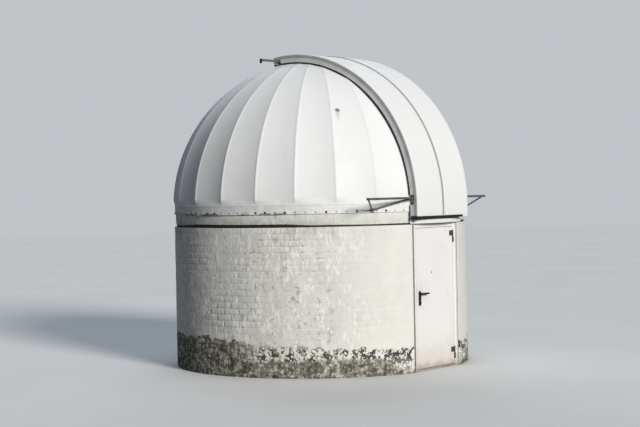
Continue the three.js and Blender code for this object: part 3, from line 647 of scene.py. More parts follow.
def rubbleFace(wiring, look, place, upright, marks):
    # stones of the footing with crumbs, moss and black algae, whitewashed above the soil
    wash = marks["wash"]
    tone = wiring.mix(wiring.mottle(place, **look["pale"]), look["stone"], look["stonePale"])
    tone = wiring.lay(tone, look["paintGrey"], wiring.mottle(place, **look["crumbs"]), look["crumbShare"])
    mossy = wiring.mottle(place, **look["mossy"])
    tone = wiring.lay(tone, look["moss"], mossy, wiring.rise(wash, 0.0, 0.6, 0.7, 0.0))
    tone = wiring.lay(tone, look["paint"], wash, wiring.mottle(upright, **look["limed"]))
    gaps = rubbleGaps(wiring, look, place, wash)
    tone = wiring.lay(tone, look["moss"], gaps, wiring.rise(wash, 0.0, 1.0, 0.6, 0.97))
    joints = wiring.rise(marks["stone"], 0.0, 0.4, 0.6, 0.0)
    return wiring.lay(tone, look["moss"], joints, wiring.fall(wash, 0.1, 0.7)), gaps


def makeMasonry(name, look):
    # the mesh carries where the weather reaches it and where its joints, bricks and footing are
    material, wiring, sockets, place = newMaterial(name, Specular_IOR_Level=0.25)
    upright = wiring.node("ShaderNodeMapping", {"Vector": place, "Scale": look["flakeStretch"]}).outputs[0]
    marks = {key: wiring.node("ShaderNodeAttribute", attribute_name=key).outputs["Fac"]
             for key in ("weather", "joint", "footing", "brick", "stone", "wash")}
    base, streaks, chalk = paintedFace(wiring, look, place, upright, marks)
    base, peel, pocks = bareFace(wiring, look, place, base, marks)
    rubble, gaps = rubbleFace(wiring, look, place, upright, marks)
    climb = wiring.plus(marks["footing"], wiring.swing(wiring.noise(place, 8.0, 8.0, 0.65), look["climb"]))
    footing = wiring.rise(climb, 0.35, 0.75)
    base = wiring.lay(base, rubble, footing, look["footShare"])
    drips = wiring.times(wiring.group(splash, place, **look["drips"]),
                         wiring.rise(marks["weather"], 0.0, 1.0, 0.1, 0.6))
    wiring.feed(sockets["Base Color"], wiring.lay(base, look["mortar"], drips, streaks))
    wiring.feed(sockets["Roughness"], wiring.rise(wiring.plus(peel, footing), 0.0, 1.0, 0.82, 0.97))

    normal = grainNormal(wiring, place, look)
    edges = wiring.minus(wiring.minus(wiring.times(chalk, 0.5), peel), wiring.times(gaps, footing))
    normal = bumpFrom(wiring, edges, look["flakeDepth"], look["flakeStrength"], normal)
    normal = bumpFrom(wiring, wiring.times(pocks, -1.0), look["pockDepth"], look["pockStrength"], normal)
    wiring.feed(sockets["Normal"], normal)
    return material


masonry = makeMasonry("masonry", masonryLook)
print("materials ready")


# mesh helpers

def finishPiece(name, points, faces, body, materials, replaced=(), smoothDegrees=35, tones=None):
    mesh = bpy.data.meshes.new(name)
    mesh.from_pydata([tuple(map(float, point)) for point in points], [], faces)
    for material in materials:
        mesh.materials.append(material)
    if tones is not None:
        mesh.polygons.foreach_set("material_index", tones)
    mesh.update()
    mesh.shade_smooth()
    mesh.set_sharp_from_angle(angle=math.radians(smoothDegrees))
    piece = bpy.data.objects.new(name, mesh)
    bpy.context.scene.collection.objects.link(piece)
    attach(piece, body)
    if replaced:
        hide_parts(*replaced)
    return piece


def roundEdges(piece, width, segments=2, degrees=32):
    bevel = piece.modifiers.new("edges", "BEVEL")
    bevel.width = width
    bevel.segments = segments
    bevel.limit_method = "ANGLE"
    bevel.angle_limit = math.radians(degrees)


def dressNode(nodeName, material, edge=0.0):
    piece = nodes[nodeName]
    piece.data.materials.clear()
    piece.data.materials.append(material)
    if edge:
        weld = piece.modifiers.new("weld", "WELD")
        weld.merge_threshold = 0.00002
        roundEdges(piece, edge)


def looseObject(name, shape):
    # an object of a shape's points and faces that isn't a piece of the building
    mesh = bpy.data.meshes.new(name)
    mesh.from_pydata(shape.points, [], shape.faces)
    made = bpy.data.objects.new(name, mesh)
    bpy.context.scene.collection.objects.link(made)
    return made


def cutAway(piece, low, high):
    # takes a box out of a piece for good
    tool = Shape()
    tool.box(low, high)
    cutter = looseObject("cutter", tool)
    cut = piece.modifiers.new("cut", "BOOLEAN")
    cut.operation = "DIFFERENCE"
    cut.solver = "EXACT"
    cut.object = cutter
    depsgraph = bpy.context.evaluated_depsgraph_get()
    result = bpy.data.meshes.new_from_object(piece.evaluated_get(depsgraph))
    piece.modifiers.clear()
    piece.data = result
    bpy.data.objects.remove(cutter)


def stripFaces(lower, upper, columns, flipped=False):
    # faces between two rows of points, given where each row starts
    faces = []
    for column in range(columns - 1):
        a, b = lower + column, upper + column
        faces.append((a, b, b + 1, a + 1) if flipped else (a, a + 1, b + 1, b))
    return faces


def shellFaces(rows, columns):
    # closed shell between an outer and an inner grid
    count = rows * columns
    faces = []
    for low in range(0, count - columns, columns):
        high = low + columns
        faces += stripFaces(low, high, columns)
        faces += stripFaces(count + low, count + high, columns, True)
        right = high - 1
        faces.append((low, high, count + high, count + low))
        faces.append((right, count + right, count + right + columns, right + columns))
    faces += stripFaces(0, count, columns, True)
    faces += stripFaces(count - columns, 2 * count - columns, columns)
    return faces


hexBolt = {  # radii and heights in shares of the bolt's size
    "washerRadius": 1.5, "washerThick": 0.22, "washerSides": 14,
    "head": [(0, 0.2), (0.95, 0.2), (0.95, 0.75), (0.78, 0.9), (0, 0.9)],
}


class Shape:
    # points and faces of one piece, gathered from simple closed forms
    def __init__(self):
        self.points = []
        self.faces = []
        self.tones = []

    def add(self, points, faces, place=None, tone=0):
        start = len(self.points)
        place = place or Matrix()
        self.points += [tuple(place @ Vector(point)) for point in points]
        self.faces += [[start + index for index in face] for face in faces]
        self.tones += [tone] * len(faces)

    def box(self, first, second, tone=0):
        # between any two opposite corners
        corners = list(itertools.product(*(sorted(pair) for pair in zip(first, second))))
        faces = [(0, 1, 3, 2), (4, 6, 7, 5), (0, 4, 5, 1), (2, 3, 7, 6), (0, 2, 6, 4), (1, 5, 7, 3)]
        self.add(corners, faces, None, tone)

    def lathe(self, profile, place=None, sides=24, tone=0):
        # profile: (radius, height) pairs from the axis at the foot round to the axis at the top
        points = [(0, 0, profile[0][1])]
        rings = []
        for radius, height in profile[1:-1]:
            rings.append(len(points))
            for side in range(sides):
                angle = 2 * math.pi * side / sides
                points.append((radius * math.cos(angle), radius * math.sin(angle), height))
        last = len(points)
        points.append((0, 0, profile[-1][1]))
        faces = []
        for side in range(sides):
            after = (side + 1) % sides
            faces.append((0, rings[0] + after, rings[0] + side))
            for lower, upper in zip(rings, rings[1:]):
                faces.append((lower + side, lower + after, upper + after, upper + side))
            faces.append((rings[-1] + side, rings[-1] + after, last))
        self.add(points, faces, place, tone)

    def disc(self, radius, low, high, place=None, sides=24, tone=0):
        self.lathe([(0, low), (radius, low), (radius, high), (0, high)], place, sides, tone)

    def bolt(self, spot, direction, size, turn, tone=0):
        # washer and hexagon head
        place = placeAt(spot, direction, turn)
        radius, thick = size * hexBolt["washerRadius"], size * hexBolt["washerThick"]
        self.disc(radius, 0, thick, place, hexBolt["washerSides"], tone)
        self.lathe([(size * across, size * up) for across, up in hexBolt["head"]], place, 6, tone)

    def loft(self, rings, place=None, tone=0):
        # closed rings of points, one after another, with both ends capped
        count = len(rings[0])
        last = count * (len(rings) - 1)
        faces = [list(reversed(range(count)))]
        for base in range(0, last, count):
            for index in range(count):
                after = (index + 1) % count
                faces.append([base + index, base + after, base + count + after, base + count + index])
        faces.append(list(range(last, last + count)))
        self.add([point for ring in rings for point in ring], faces, place, tone)

    def extrude(self, outline, low, high, place):
        # an outline of (x, y) points, anticlockwise, stretched along local Z
        self.loft([[(x, y, level) for x, y in outline] for level in (low, high)], place)

    def piece(self, name, body, materials, slotName, replaced=(), smoothDegrees=35):
        return finishPiece(name, self.points, self.faces, body, materials, replaced,
                           smoothDegrees, self.tones)


# camera at the photograph's viewpoint, turned towards the building

view = {"azimuth": -51.0, "distance": 21.54, "height": 2.465, "aimHeight": 2.12, "roll": -0.02, "lens": 84.0,
        "sensor": 36.0, "farEnd": 400.0}


def setCamera():
    spot = aroundAxis(view["azimuth"], view["distance"], view["height"])
    camera = bpy.data.objects.new("camera", bpy.data.cameras.new("camera"))
    camera.data.lens = view["lens"]
    camera.data.sensor_width = view["sensor"]
    camera.data.clip_end = view["farEnd"]
    aim = Vector((0, 0, view["aimHeight"])) - spot
    turned = aim.to_track_quat("-Z", "Y").to_matrix().to_4x4() @ Matrix.Rotation(view["roll"], 4, "Z")
    camera.matrix_world = Matrix.Translation(spot) @ turned
    bpy.context.scene.collection.objects.link(camera)
    bpy.context.scene.camera = camera


# floor, sky and lights

studio = {
    "floor": colour(0.84, 0.84, 0.83), "floorUnlit": colour(0.30, 0.30, 0.30), "floorRadius": 70.0,
    "floorTop": -0.002, "floorUnder": -0.03,
    "floorTone": {"scale": 0.35, "detail": 3.0, "low": 0.3, "high": 0.7, "end": 0.06},
    "backdrop": colour(0.53, 0.555, 0.58), "fill": colour(0.50, 0.70, 0.95), "fillStrength": 0.06,
}
suns = {
    "key": {"azimuth": -19, "elevation": 19, "strength": 3.15, "softness": 15, "colour": (1.0, 0.97, 0.92)},
    "top": {"azimuth": -30, "elevation": 85, "strength": 0.42, "softness": 50, "colour": (0.86, 0.93, 1.0)},
    "back": {"azimuth": 132, "elevation": 35, "strength": 1.0, "softness": 50, "colour": (0.8, 0.89, 1.0)},
}


def addSun(name, look):
    sun = bpy.data.objects.new(name, bpy.data.lights.new(name, "SUN"))
    sun.data.energy = look["strength"]
    sun.data.angle = math.radians(look["softness"])
    sun.data.color = look["colour"]
    sun.rotation_euler = outwards(look["azimuth"], look["elevation"]).to_track_quat("Z", "Y").to_euler()
    bpy.context.scene.collection.objects.link(sun)


def addFloor():
    # pale where the camera sees it, darker in the light that it throws back
    material, wiring, sockets, place = newMaterial("floorFinish", Roughness=0.9, Specular_IOR_Level=0.1)
    seen = wiring.mix(wiring.mottle(place, **studio["floorTone"]), studio["floor"], studio["floorUnlit"])
    path = wiring.node("ShaderNodeLightPath")
    wiring.feed(sockets["Base Color"], wiring.mix(path.outputs["Is Camera Ray"], studio["floorUnlit"], seen))
    disc = Shape()
    disc.disc(studio["floorRadius"], studio["floorUnder"], studio["floorTop"], None, 96)
    floor = looseObject("floor", disc)
    floor.data.materials.append(material)


def setWorld():
    world = bpy.data.worlds.new("studio")
    bpy.context.scene.world = world
    world.use_nodes = True
    world.node_tree.nodes.clear()
    wiring = Wiring(world.node_tree)
    fill = wiring.node("ShaderNodeBackground", {"Color": studio["fill"], "Strength": studio["fillStrength"]})
    seen = wiring.node("ShaderNodeBackground", {"Color": studio["backdrop"], "Strength": 1.0})
    path = wiring.node("ShaderNodeLightPath")
    mixed = wiring.node("ShaderNodeMixShader", {0: path.outputs["Is Camera Ray"], 1: fill.outputs[0],
                                                2: seen.outputs[0]})
    wiring.feed(wiring.node("ShaderNodeOutputWorld").inputs["Surface"], mixed.outputs[0])


setCamera()
addFloor()
setWorld()
for name, look in suns.items():
    addSun(name, look)
bpy.context.scene.view_settings.view_transform = "Standard"
bpy.context.scene.view_settings.look = "None"
print("studio set")


# painted brick face of the wall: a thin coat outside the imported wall, with real joints, worn
# bricks and a rubble footing

coat = {
    "pieces": 6, "bricks": 52, "courses": 24,
    "thin": 0.0012, "middle": 0.0062, "thick": 0.0122, "back": 0.0002,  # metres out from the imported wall
    "jointDepth": 0.0028, "brickShift": 0.0010, "wave": 0.0022, "ripple": 0.0011, "peelDepth": 0.0018,
    "acrossBrick": [0, 0.04, 0.09, 0.27, 0.5, 0.73, 0.91, 0.96], "rimSteps": (0.12, 0.4),
    "upCourse": [0, 0.05, 0.12, 0.37, 0.63, 0.88, 0.95], "topRim": 0.004,
    "uprightJoint": (0.045, 0.09), "bedJoint": (0.06, 0.12),  # shares of half a brick and of a course
    "weathered": (22, 62),  # degrees from the door over which the weather's marks begin
    "weatherWave": 9, "leastWeather": 0.10, "weatherPatches": 0.22, "weatherFloor": 0.05,
    "leastFilled": 0.12, "filledFrom": (-0.35, 0.45), "filledShown": 1.4, "peelFrom": (0.55, 0.7),
    "footing": {"door": 0.36, "front": 0.41, "side": 0.50}, "frontFooting": (12, 62), "sideFooting": (60, 92),
    "footingWave": 0.03, "footingRagged": 0.045, "footingEdge": 0.02,
    "stoneSize": 0.085, "stoneRise": 1.25, "stoneRound": 0.006, "stoneLevel": 0.55, "stoneRough": 0.0015,
    "stoneBack": 0.001,
    "washLow": 0.19, "washHigh": 0.27, "washWave": 0.03, "washDrop": 0.17, "washDoor": (17, 33),
    "washEnd": (66, 88), "washEndWave": 8, "jointLeft": 0.022, "jointRight": 0.008,
    "edgeRadius": 0.03, "topRadius": 0.02, "endShare": 0.25, "topShare": 0.7,  # shares of relief left there
}


def coatColumns():
    # angles in degrees from the door's right side round to its left, closer together at the joints
    step = 360 / (2 * coat["bricks"])
    start = math.degrees(math.asin((frameHigh.x + coat["jointRight"]) / wallOuter))
    end = 360 + math.degrees(math.asin((frameLow.x - coat["jointLeft"]) / wallOuter))
    angles = [start, end]
    for rim in coat["rimSteps"]:
        angles += [start + rim, end - rim]
    for half in range(2 * coat["bricks"] + 1):
        angles += [(half + share) * step for share in coat["acrossBrick"]]
    inside = sorted(set(round(angle, 5) for angle in angles if start <= angle <= end))
    return np.array(inside), step, start, end


def coatHeights():
    course = wallTop / coat["courses"]
    heights = [(row + share) * course for row in range(coat["courses"]) for share in coat["upCourse"]]
    return np.array(sorted(heights + [wallTop - coat["topRim"], wallTop]))


def brickwork(degrees, up, step):
    # how far each point is in a joint of the running bond, and a steady number for its brick
    half = degrees / step
    course = wallTop / coat["courses"]
    row = np.floor(up / course + 1e-6)
    jointed = (np.round(half) + row) % 2 == 0
    upright = np.where(jointed, smoothFall(np.abs(half - np.round(half)), *coat["uprightJoint"]), 0.0)
    bed = smoothFall(np.abs(up / course - np.round(up / course)), *coat["bedJoint"])
    key = np.stack([np.floor((half + row) / 2), row, np.zeros_like(row)], axis=-1).astype(np.int64)
    return np.maximum(upright, bed), hashedValue(key, 3)


def footingShare(fromDoor, up, spots):
    sizes = coat["footing"]
    top = sizes["door"] + (sizes["front"] - sizes["door"]) * smoothRise(fromDoor, *coat["frontFooting"])
    top += (sizes["side"] - sizes["front"]) * smoothRise(fromDoor, *coat["sideFooting"])
    top += coat["footingWave"] * softNoise(spots * (1, 1, 0), 2.4, 6)
    top += coat["footingRagged"] * softNoise(spots, 13.0, 7)
    return smoothFall(up - top, -coat["footingEdge"], coat["footingEdge"])


def whitewash(fromDoor, up, spots):
    # on the footing's upper part, lower down beside the door, and none round the back
    drop = coat["washDrop"] * smoothFall(fromDoor, *coat["washDoor"])
    wave = coat["washWave"] * softNoise(spots, 6.0, 13)
    wash = smoothRise(up + drop + wave, coat["washLow"], coat["washHigh"])
    return wash * smoothFall(fromDoor + coat["washEndWave"] * softNoise(spots, 2.0, 14), *coat["washEnd"])


def coatRelief(angles, heights, step, start, end):
    # how far the coat stands out at each point, and the layers that its material reads there
    degrees, up = np.meshgrid(angles, heights)
    radians = np.radians(degrees)
    spots = onRings(wallOuter, radians, up)
    joint, brick = brickwork(degrees, up, step)
    fromDoor = np.abs(np.where(degrees > 180, degrees - 360, degrees))
    weather = smoothRise(fromDoor + coat["weatherWave"] * softNoise(spots, 1.6, 4), *coat["weathered"])
    weather = fromLeast(coat["leastWeather"], weather) + coat["weatherPatches"] * softNoise(spots, 1.0, 5)
    weather = np.clip(weather, coat["weatherFloor"], 1)
    footing = footingShare(fromDoor, up, spots)
    stone = stoneEdges(radians * wallOuter, up * coat["stoneRise"], coat["stoneSize"], 8)

    filled = weather * smoothRise(softNoise(spots, 2.6, 9), *coat["filledFrom"])
    filled = fromLeast(coat["leastFilled"], filled)
    flaky = softNoise(spots, 7.0, 10) + 0.5 * softNoise(spots, 17.0, 11) + 0.5 * weather
    peel = smoothRise(flaky, *coat["peelFrom"])
    face = coat["middle"] + coat["wave"] * softNoise(spots, 1.4, 1)
    face += coat["ripple"] * softNoise(spots, 6.0, 2)
    face += coat["brickShift"] * (2 * brick - 1) * (1 - joint) * weather
    face -= coat["jointDepth"] * joint * filled + coat["peelDepth"] * peel * weather
    rubble = coat["middle"] - coat["stoneBack"] + coat["stoneRound"] * (stone - coat["stoneLevel"])
    rubble += coat["stoneRough"] * softNoise(spots, 30.0, 12)
    offset = face * (1 - footing) + rubble * footing
    fromEdge = np.minimum(np.radians(degrees - start), np.radians(end - degrees)) * wallOuter
    offset *= fromLeast(coat["endShare"], smoothRise(fromEdge, 0, coat["edgeRadius"]))
    offset *= fromLeast(coat["topShare"], smoothRise(wallTop - up, 0, coat["topRadius"]))
    offset = np.clip(offset, coat["thin"], coat["thick"])
    shown = np.clip(filled * coat["filledShown"], 0, 1)
    return offset, {"joint": joint * (1 - footing) * shown, "weather": weather, "footing": footing,
                    "brick": brick * (1 - joint), "stone": stone, "wash": whitewash(fromDoor, up, spots)}


def coatFaces(rows, columns):
    # closed strip of wall: a fine face outside and two rows of points at its back
    low = rows * columns
    high = low + columns
    faces = []
    for start in range(0, low - columns, columns):
        faces += stripFaces(start, start + columns, columns)
    faces += stripFaces(low, high, columns, True) + stripFaces(0, low, columns, True)
    faces += stripFaces(low - columns, high, columns)
    faces.append(list(range(0, low, columns)) + [high, low])
    faces.append(list(range(low - 1, 0, -columns)) + [high - 1, high + columns - 1])
    return faces


def buildCoat():
    angles, step, start, end = coatColumns()
    heights = coatHeights()
    offset, layers = coatRelief(angles, heights, step, start, end)
    ends = np.linspace(0, len(angles) - 1, coat["pieces"] + 1).astype(int)
    for number in range(coat["pieces"]):
        chosen = slice(ends[number], ends[number + 1] + 1)
        radians = np.radians(angles[chosen])
        outer = onRings(wallOuter + offset[:, chosen], radians, heights[:, None])
        inner = onRings(wallOuter + coat["back"], radians, heights[[0, -1], None])
        points = np.concatenate([outer.reshape(-1, 3), inner.reshape(-1, 3)])
        faces = coatFaces(len(heights), len(radians))
        piece = finishPiece(f"wall_coat_{number + 1}", points, faces, "building", [masonry],
                            smoothDegrees=60)
        for key, values in layers.items():
            attribute = piece.data.attributes.new(key, "FLOAT", "POINT")
            shown = np.concatenate([values[:, chosen].ravel(), np.zeros(2 * len(radians))])
            attribute.data.foreach_set("value", shown.astype(np.float32))
    print("wall coat built")


buildCoat()


# door leaf with a slightly uneven face, its lever, lock plate, viewer and hinges

door = {
    "edge": 0.003, "wave": 0.0007, "flatRim": 0.06, "across": 24, "up": 44,
    "viewerAt": (-0.097, 1.318), "viewerInset": 0.0005,
    "viewerRim": [(0, 0), (0.013, 0), (0.013, 0.003), (0.010, 0.0045), (0, 0.0045)],
    "viewerGlass": [(0, 0.004), (0.0065, 0.004), (0.0055, 0.0058), (0, 0.0064)],
}
lock = {
    "spindle": (-0.385, 1.045), "half": 0.026, "below": 0.165, "above": 0.035, "thick": 0.010, "edge": 0.0012,
    "rose": [(0, 0), (0.017, 0), (0.017, 0.004), (0.014, 0.006), (0, 0.006)],
    "barrelBelow": 0.092, "barrelRadius": 0.0085, "barrelThick": 0.004,
    "slotHalf": (0.0016, 0.006), "slotDepth": (0.0048, 0.002),
    "screwsUp": (0.024, -0.145), "screw": [(0, 0), (0.0042, 0), (0.003, 0.0018), (0, 0.002)],
}
lever = {
    "radius": 0.0108, "flat": 0.85, "tall": 1.12, "sides": 20, "reach": 0.048, "length": 0.148,
    "bend": 0.016, "bendSteps": 6, "tip": 0.006, "tipShare": 0.55, "tipBack": 0.002, "droop": 0.003,
    "midShare": 0.6, "midDroop": 0.0008, "spindleRadius": 0.0078, "spindleProud": 0.02,
}
hinges = {
    "axis": (0.4175, -2.01), "heights": {"lower_hinge": 0.185, "upper_hinge": 1.79}, "radius": 0.0094,
    "half": 0.085, "barrelTip": [(1.0, -0.004), (0.6, 0.001), (0, 0.003)],  # share of the radius, and up
    "leafGap": 0.0004, "frameGap": 0.0006, "sides": 28, "edge": 0.001,
    "strapLength": 0.075, "strapFoot": 0.008, "strapTop": 0.078, "strapThick": 0.005, "strapInset": 0.003,
    "rivet": [(0, 0), (0.0055, 0), (0.004, 0.0022), (0, 0.0026)], "rivetFirst": (0.02, 0.026),
    "rivetStep": (0.021, 0.034), "tabSide": (0.002, 0.026), "tabHeight": (-0.079, -0.0075),
    "tabFront": 0.0005, "tabDepth": 0.0195,
}
bead = {"steps": 60, "end": 0.003, "proud": 0.0022, "wave": 0.0014, "near": 0.0004, "far": 0.0006,
        "farShare": 0.6, "back": 0.0003, "beats": (2.1, 0.7)}


def onFront(x, y, z):
    # where a fitting stands out of the door's front
    return placeAt((x, y, z), (0, -1, 0))


def buildLeaf():
    across = np.linspace(leafLow.x, leafHigh.x, door["across"] + 1)
    up = np.linspace(leafLow.z, leafHigh.z, door["up"] + 1)
    x, z = (grid.ravel() for grid in np.meshgrid(across, up))
    inset = np.minimum.reduce([x - leafLow.x, leafHigh.x - x, z - leafLow.z, leafHigh.z - z])
    noise = softNoise(np.stack([x, np.zeros_like(x), z], axis=-1), 2.2, 21)
    dent = door["wave"] * (noise - 1) * smoothRise(inset, 0.0, door["flatRim"])
    front = np.stack([x, leafLow.y - dent, z], axis=-1)
    back = np.stack([x, np.full_like(x, leafHigh.y), z], axis=-1)
    faces = shellFaces(len(up), len(across))
    leaf = finishPiece("door_sheet", np.concatenate([front, back]), faces, "door", [doorPaint],
                       ["door_leaf"])
    roundEdges(leaf, door["edge"], 3, 50)


def buildLockPlate():
    x, z = lock["spindle"]
    half = lock["half"]
    outline = []
    for centre, first in ((z + lock["above"] - half, 0), (z - lock["below"] + half, 180)):
        for step in range(9):
            angle = math.radians(first + step * 22.5)
            outline.append((x + half * math.cos(angle), centre + half * math.sin(angle)))
    face = leafFace - lock["thick"]
    shape = Shape()
    shape.extrude(outline, -leafFace, -face, facingFront)
    shape.lathe(lock["rose"], onFront(x, face, z), 32)
    barrel = z - lock["barrelBelow"]
    shape.disc(lock["barrelRadius"], 0, lock["barrelThick"], onFront(x, face, barrel), 24, 1)
    across, up = lock["slotHalf"]
    outer, inner = lock["slotDepth"]
    shape.box((x - across, face - outer, barrel - up), (x + across, face - inner, barrel + up))
    for screwUp in lock["screwsUp"]:
        shape.lathe(lock["screw"], onFront(x, face, z + screwUp), 16, 1)
    plate = shape.piece("lock_plate", "door", [blackFitting, brightSteel], "black_fittings", ["handle_plate"])
    roundEdges(plate, lock["edge"])


def leverPath(sign, face):
    # straight out of the door, round a short bend and along it
    x, z = lock["spindle"]
    reach, bend, length = lever["reach"], lever["bend"], lever["length"]
    spots = [(0, 0, 0)]
    for step in range(lever["bendSteps"] + 1):
        angle = math.pi / 2 * step / lever["bendSteps"]
        spots.append((bend * (1 - math.cos(angle)), reach - bend + bend * math.sin(angle), 0))
    spots.append((length * lever["midShare"], reach, -lever["midDroop"]))
    spots.append((length - lever["tip"], reach, -lever["droop"]))
    spots.append((length, reach - lever["tipBack"], -lever["droop"]))
    return [Vector((x + along, face + sign * out, z + up)) for along, out, up in spots]


def buildLever():
    shape = Shape()
    turns = [2 * math.pi * step / lever["sides"] for step in range(lever["sides"])]
    up = Vector((0, 0, 1))
    for sign, face in ((-1, leafFace - lock["thick"]), (1, leafHigh.y)):
        path = leverPath(sign, face)
        rings = []
        for before, spot, after in zip([path[0]] + path, path, path[1:] + [path[-1]]):
            aside = (after - before).normalized().cross(up).normalized()
            radius = lever["radius"] * (lever["tipShare"] if after == spot else 1.0)
            rings.append([spot + aside * radius * lever["flat"] * math.cos(turn)
                          + up * radius * lever["tall"] * math.sin(turn) for turn in turns])
        shape.loft(rings)
    x, z = lock["spindle"]
    proud = lever["spindleProud"]
    length = leafHigh.y - leafLow.y + 2 * proud
    place = placeAt((x, leafLow.y - proud, z), (0, 1, 0))
    shape.disc(lever["spindleRadius"], 0, length, place, lever["sides"])
    shape.piece("door_lever", "lever", [blackFitting], "black_fittings", ["lever_handle"], 50)


def hingeBarrel(gap):
    radius, half = hinges["radius"], hinges["half"]
    return [(0, gap), (radius, gap)] + [(radius * share, half + up) for share, up in hinges["barrelTip"]]


def buildHinges():
    x, y = hinges["axis"]
    frameHalves = Shape()
    for nodeName, height in hinges["heights"].items():
        shape = Shape()
        place = placeAt((x, y, height))
        shape.lathe(hingeBarrel(hinges["leafGap"]), place, hinges["sides"])
        face = leafFace - hinges["strapThick"]
        shape.box((x - hinges["strapLength"], face, height + hinges["strapFoot"]),
                  (x - hinges["strapInset"], leafFace, height + hinges["strapTop"]))
        for step in range(3):
            aside = hinges["rivetFirst"][0] + hinges["rivetStep"][0] * step
            up = hinges["rivetFirst"][1] + hinges["rivetStep"][1] * (step % 2)
            shape.lathe(hinges["rivet"], onFront(x - aside, face, height + up), 16)
        piece = shape.piece(f"{nodeName}_leaf", "door", [hingeSteel], "galvanised_steel", [nodeName])
        roundEdges(piece, hinges["edge"])
        foot = [(radius, -rise) for radius, rise in reversed(hingeBarrel(hinges["frameGap"]))]
        frameHalves.lathe(foot, place, hinges["sides"])
        (near, far), (low, high) = hinges["tabSide"], hinges["tabHeight"]
        frameHalves.box((x + near, y - hinges["tabFront"], height + low),
                        (x + far, frameLow.y + hinges["tabDepth"], height + high))
    piece = frameHalves.piece("frame_hinge_halves", "building", [hingeSteel], "galvanised_steel")
    roundEdges(piece, hinges["edge"])


def buildViewer():
    x, z = door["viewerAt"]
    place = onFront(x, leafLow.y + door["viewerInset"], z)
    shape = Shape()
    shape.lathe(door["viewerRim"], place, 28)
    shape.lathe(door["viewerGlass"], place, 24, 1)
    shape.piece("peephole", "door", [boltSteel, blackFitting], "black_fittings")


def buildFrameMastic():
    # dark bead in the joint between the frame and the masonry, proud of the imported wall
    shape = Shape()
    for side, edge, joint in ((-1, frameLow.x, coat["jointLeft"]), (1, frameHigh.x, coat["jointRight"])):
        near, far = edge + side * bead["near"], edge + side * (joint - bead["far"])
        nearBack, farBack = (-math.sqrt((wallOuter + bead["back"]) ** 2 - x ** 2) for x in (near, far))
        rings = []
        for step in range(bead["steps"] + 1):
            z = bead["end"] + (wallTop - 2 * bead["end"]) * step / bead["steps"]
            proud = bead["proud"] + bead["wave"] * math.prod(math.sin(step * beat) for beat in bead["beats"])
            ring = [(near, nearBack, z), (near, nearBack - proud, z),
                    (far, farBack - proud * bead["farShare"], z), (far, farBack, z)]
            rings.append(ring[::side * -1])
        shape.loft(rings)
    shape.piece("frame_mastic", "building", [mastic], "concrete", smoothDegrees=60)


buildLeaf()
buildLockPlate()
buildLever()
buildHinges()
buildViewer()
buildFrameMastic()
dressNode("door_frame", doorPaint, 0.002)
print("door built")


# gores of the dome: each dips between its ridges, with a bead along every ridge

gores = {
    "count": 24, "dip": 0.0165, "sheet": 0.012, "bandOuter": 2.08, "bandInner": 2.064,
    "bandBottom": 2.15, "foot": 2.27, "full": 2.37, "crown": 83.0, "rowStep": 2.5,
    "beadHeight": 0.0045, "beadWidth": 0.011, "grooveDepth": 0.0035, "grooveWidth": 0.0035,
    "across": [0, 0.011, 0.028, 0.05, 0.08, 0.16, 0.32, 0.5, 0.75, 1.0],
    "bandRows": [0, 0.004, 0.012, 0.03, 0.065, 0.095, 0.108, 0.114, 0.12],
    "footRows": [0.006, 0.016, 0.032, 0.05, 0.068, 0.084, 0.1],
    "flare": 0.005, "flareHeight": 0.02, "footBead": 0.0035, "footBeadHeight": 0.006,
    "wave": 0.0016, "waveFrom": (2.16, 2.3), "pastSlit": (1.5, 3), "cutFront": -3, "cutTop": 6,
}


def goreColumns(startDegrees, goreTotal):
    # angles across a row of gores, closer together beside the ridges
    half = 180 / gores["count"]
    found = []
    for gore in range(goreTotal):
        ridge = startDegrees + 2 * half * gore
        found += [ridge + share * half for share in gores["across"]]
        found += [ridge + (2 - share) * half for share in gores["across"][:-1]]
    return sorted(set(round(angle, 5) for angle in found))


def goreHeights():
    # (height, elevation or nothing) for each row from the band's foot to the crown
    rows = [(gores["bandBottom"] + rise, None) for rise in gores["bandRows"]]
    for rise in gores["footRows"]:
        z = gores["foot"] + rise
        rows.append((z, math.asin((z - domeCentre) / domeRadius)))
    degrees = math.degrees(rows[-1][1])
    steps = math.ceil((gores["crown"] - degrees) / gores["rowStep"])
    for step in range(1, steps + 1):
        elevation = math.radians(degrees + (gores["crown"] - degrees) * step / steps)
        rows.append((domeCentre + domeRadius * math.sin(elevation), elevation))
    return rows


def goreRelief(reach, radians, toRidge, z, share):
    # ridge beads in their grooves, the band's flared lip, the bead at the foot and a slight wave
    away = toRidge * reach
    ridge = gores["beadHeight"] * np.exp(-(away / gores["beadWidth"]) ** 2)
    ridge -= gores["grooveDepth"] * np.exp(-(away / gores["grooveWidth"]) ** 2)
    reach = reach + ridge * share
    spots = onRings(reach, radians, z)
    flare = gores["flare"] * math.exp(-((z - gores["bandBottom"]) / gores["flareHeight"]) ** 2)
    reach = reach + flare * (0.5 + 0.5 * softNoise(spots, 3.1, 31))
    reach = reach + gores["footBead"] * math.exp(-((z - gores["foot"]) / gores["footBeadHeight"]) ** 2)
    return reach + gores["wave"] * softNoise(spots, 2.3, 32) * smoothRise(z, *gores["waveFrom"])


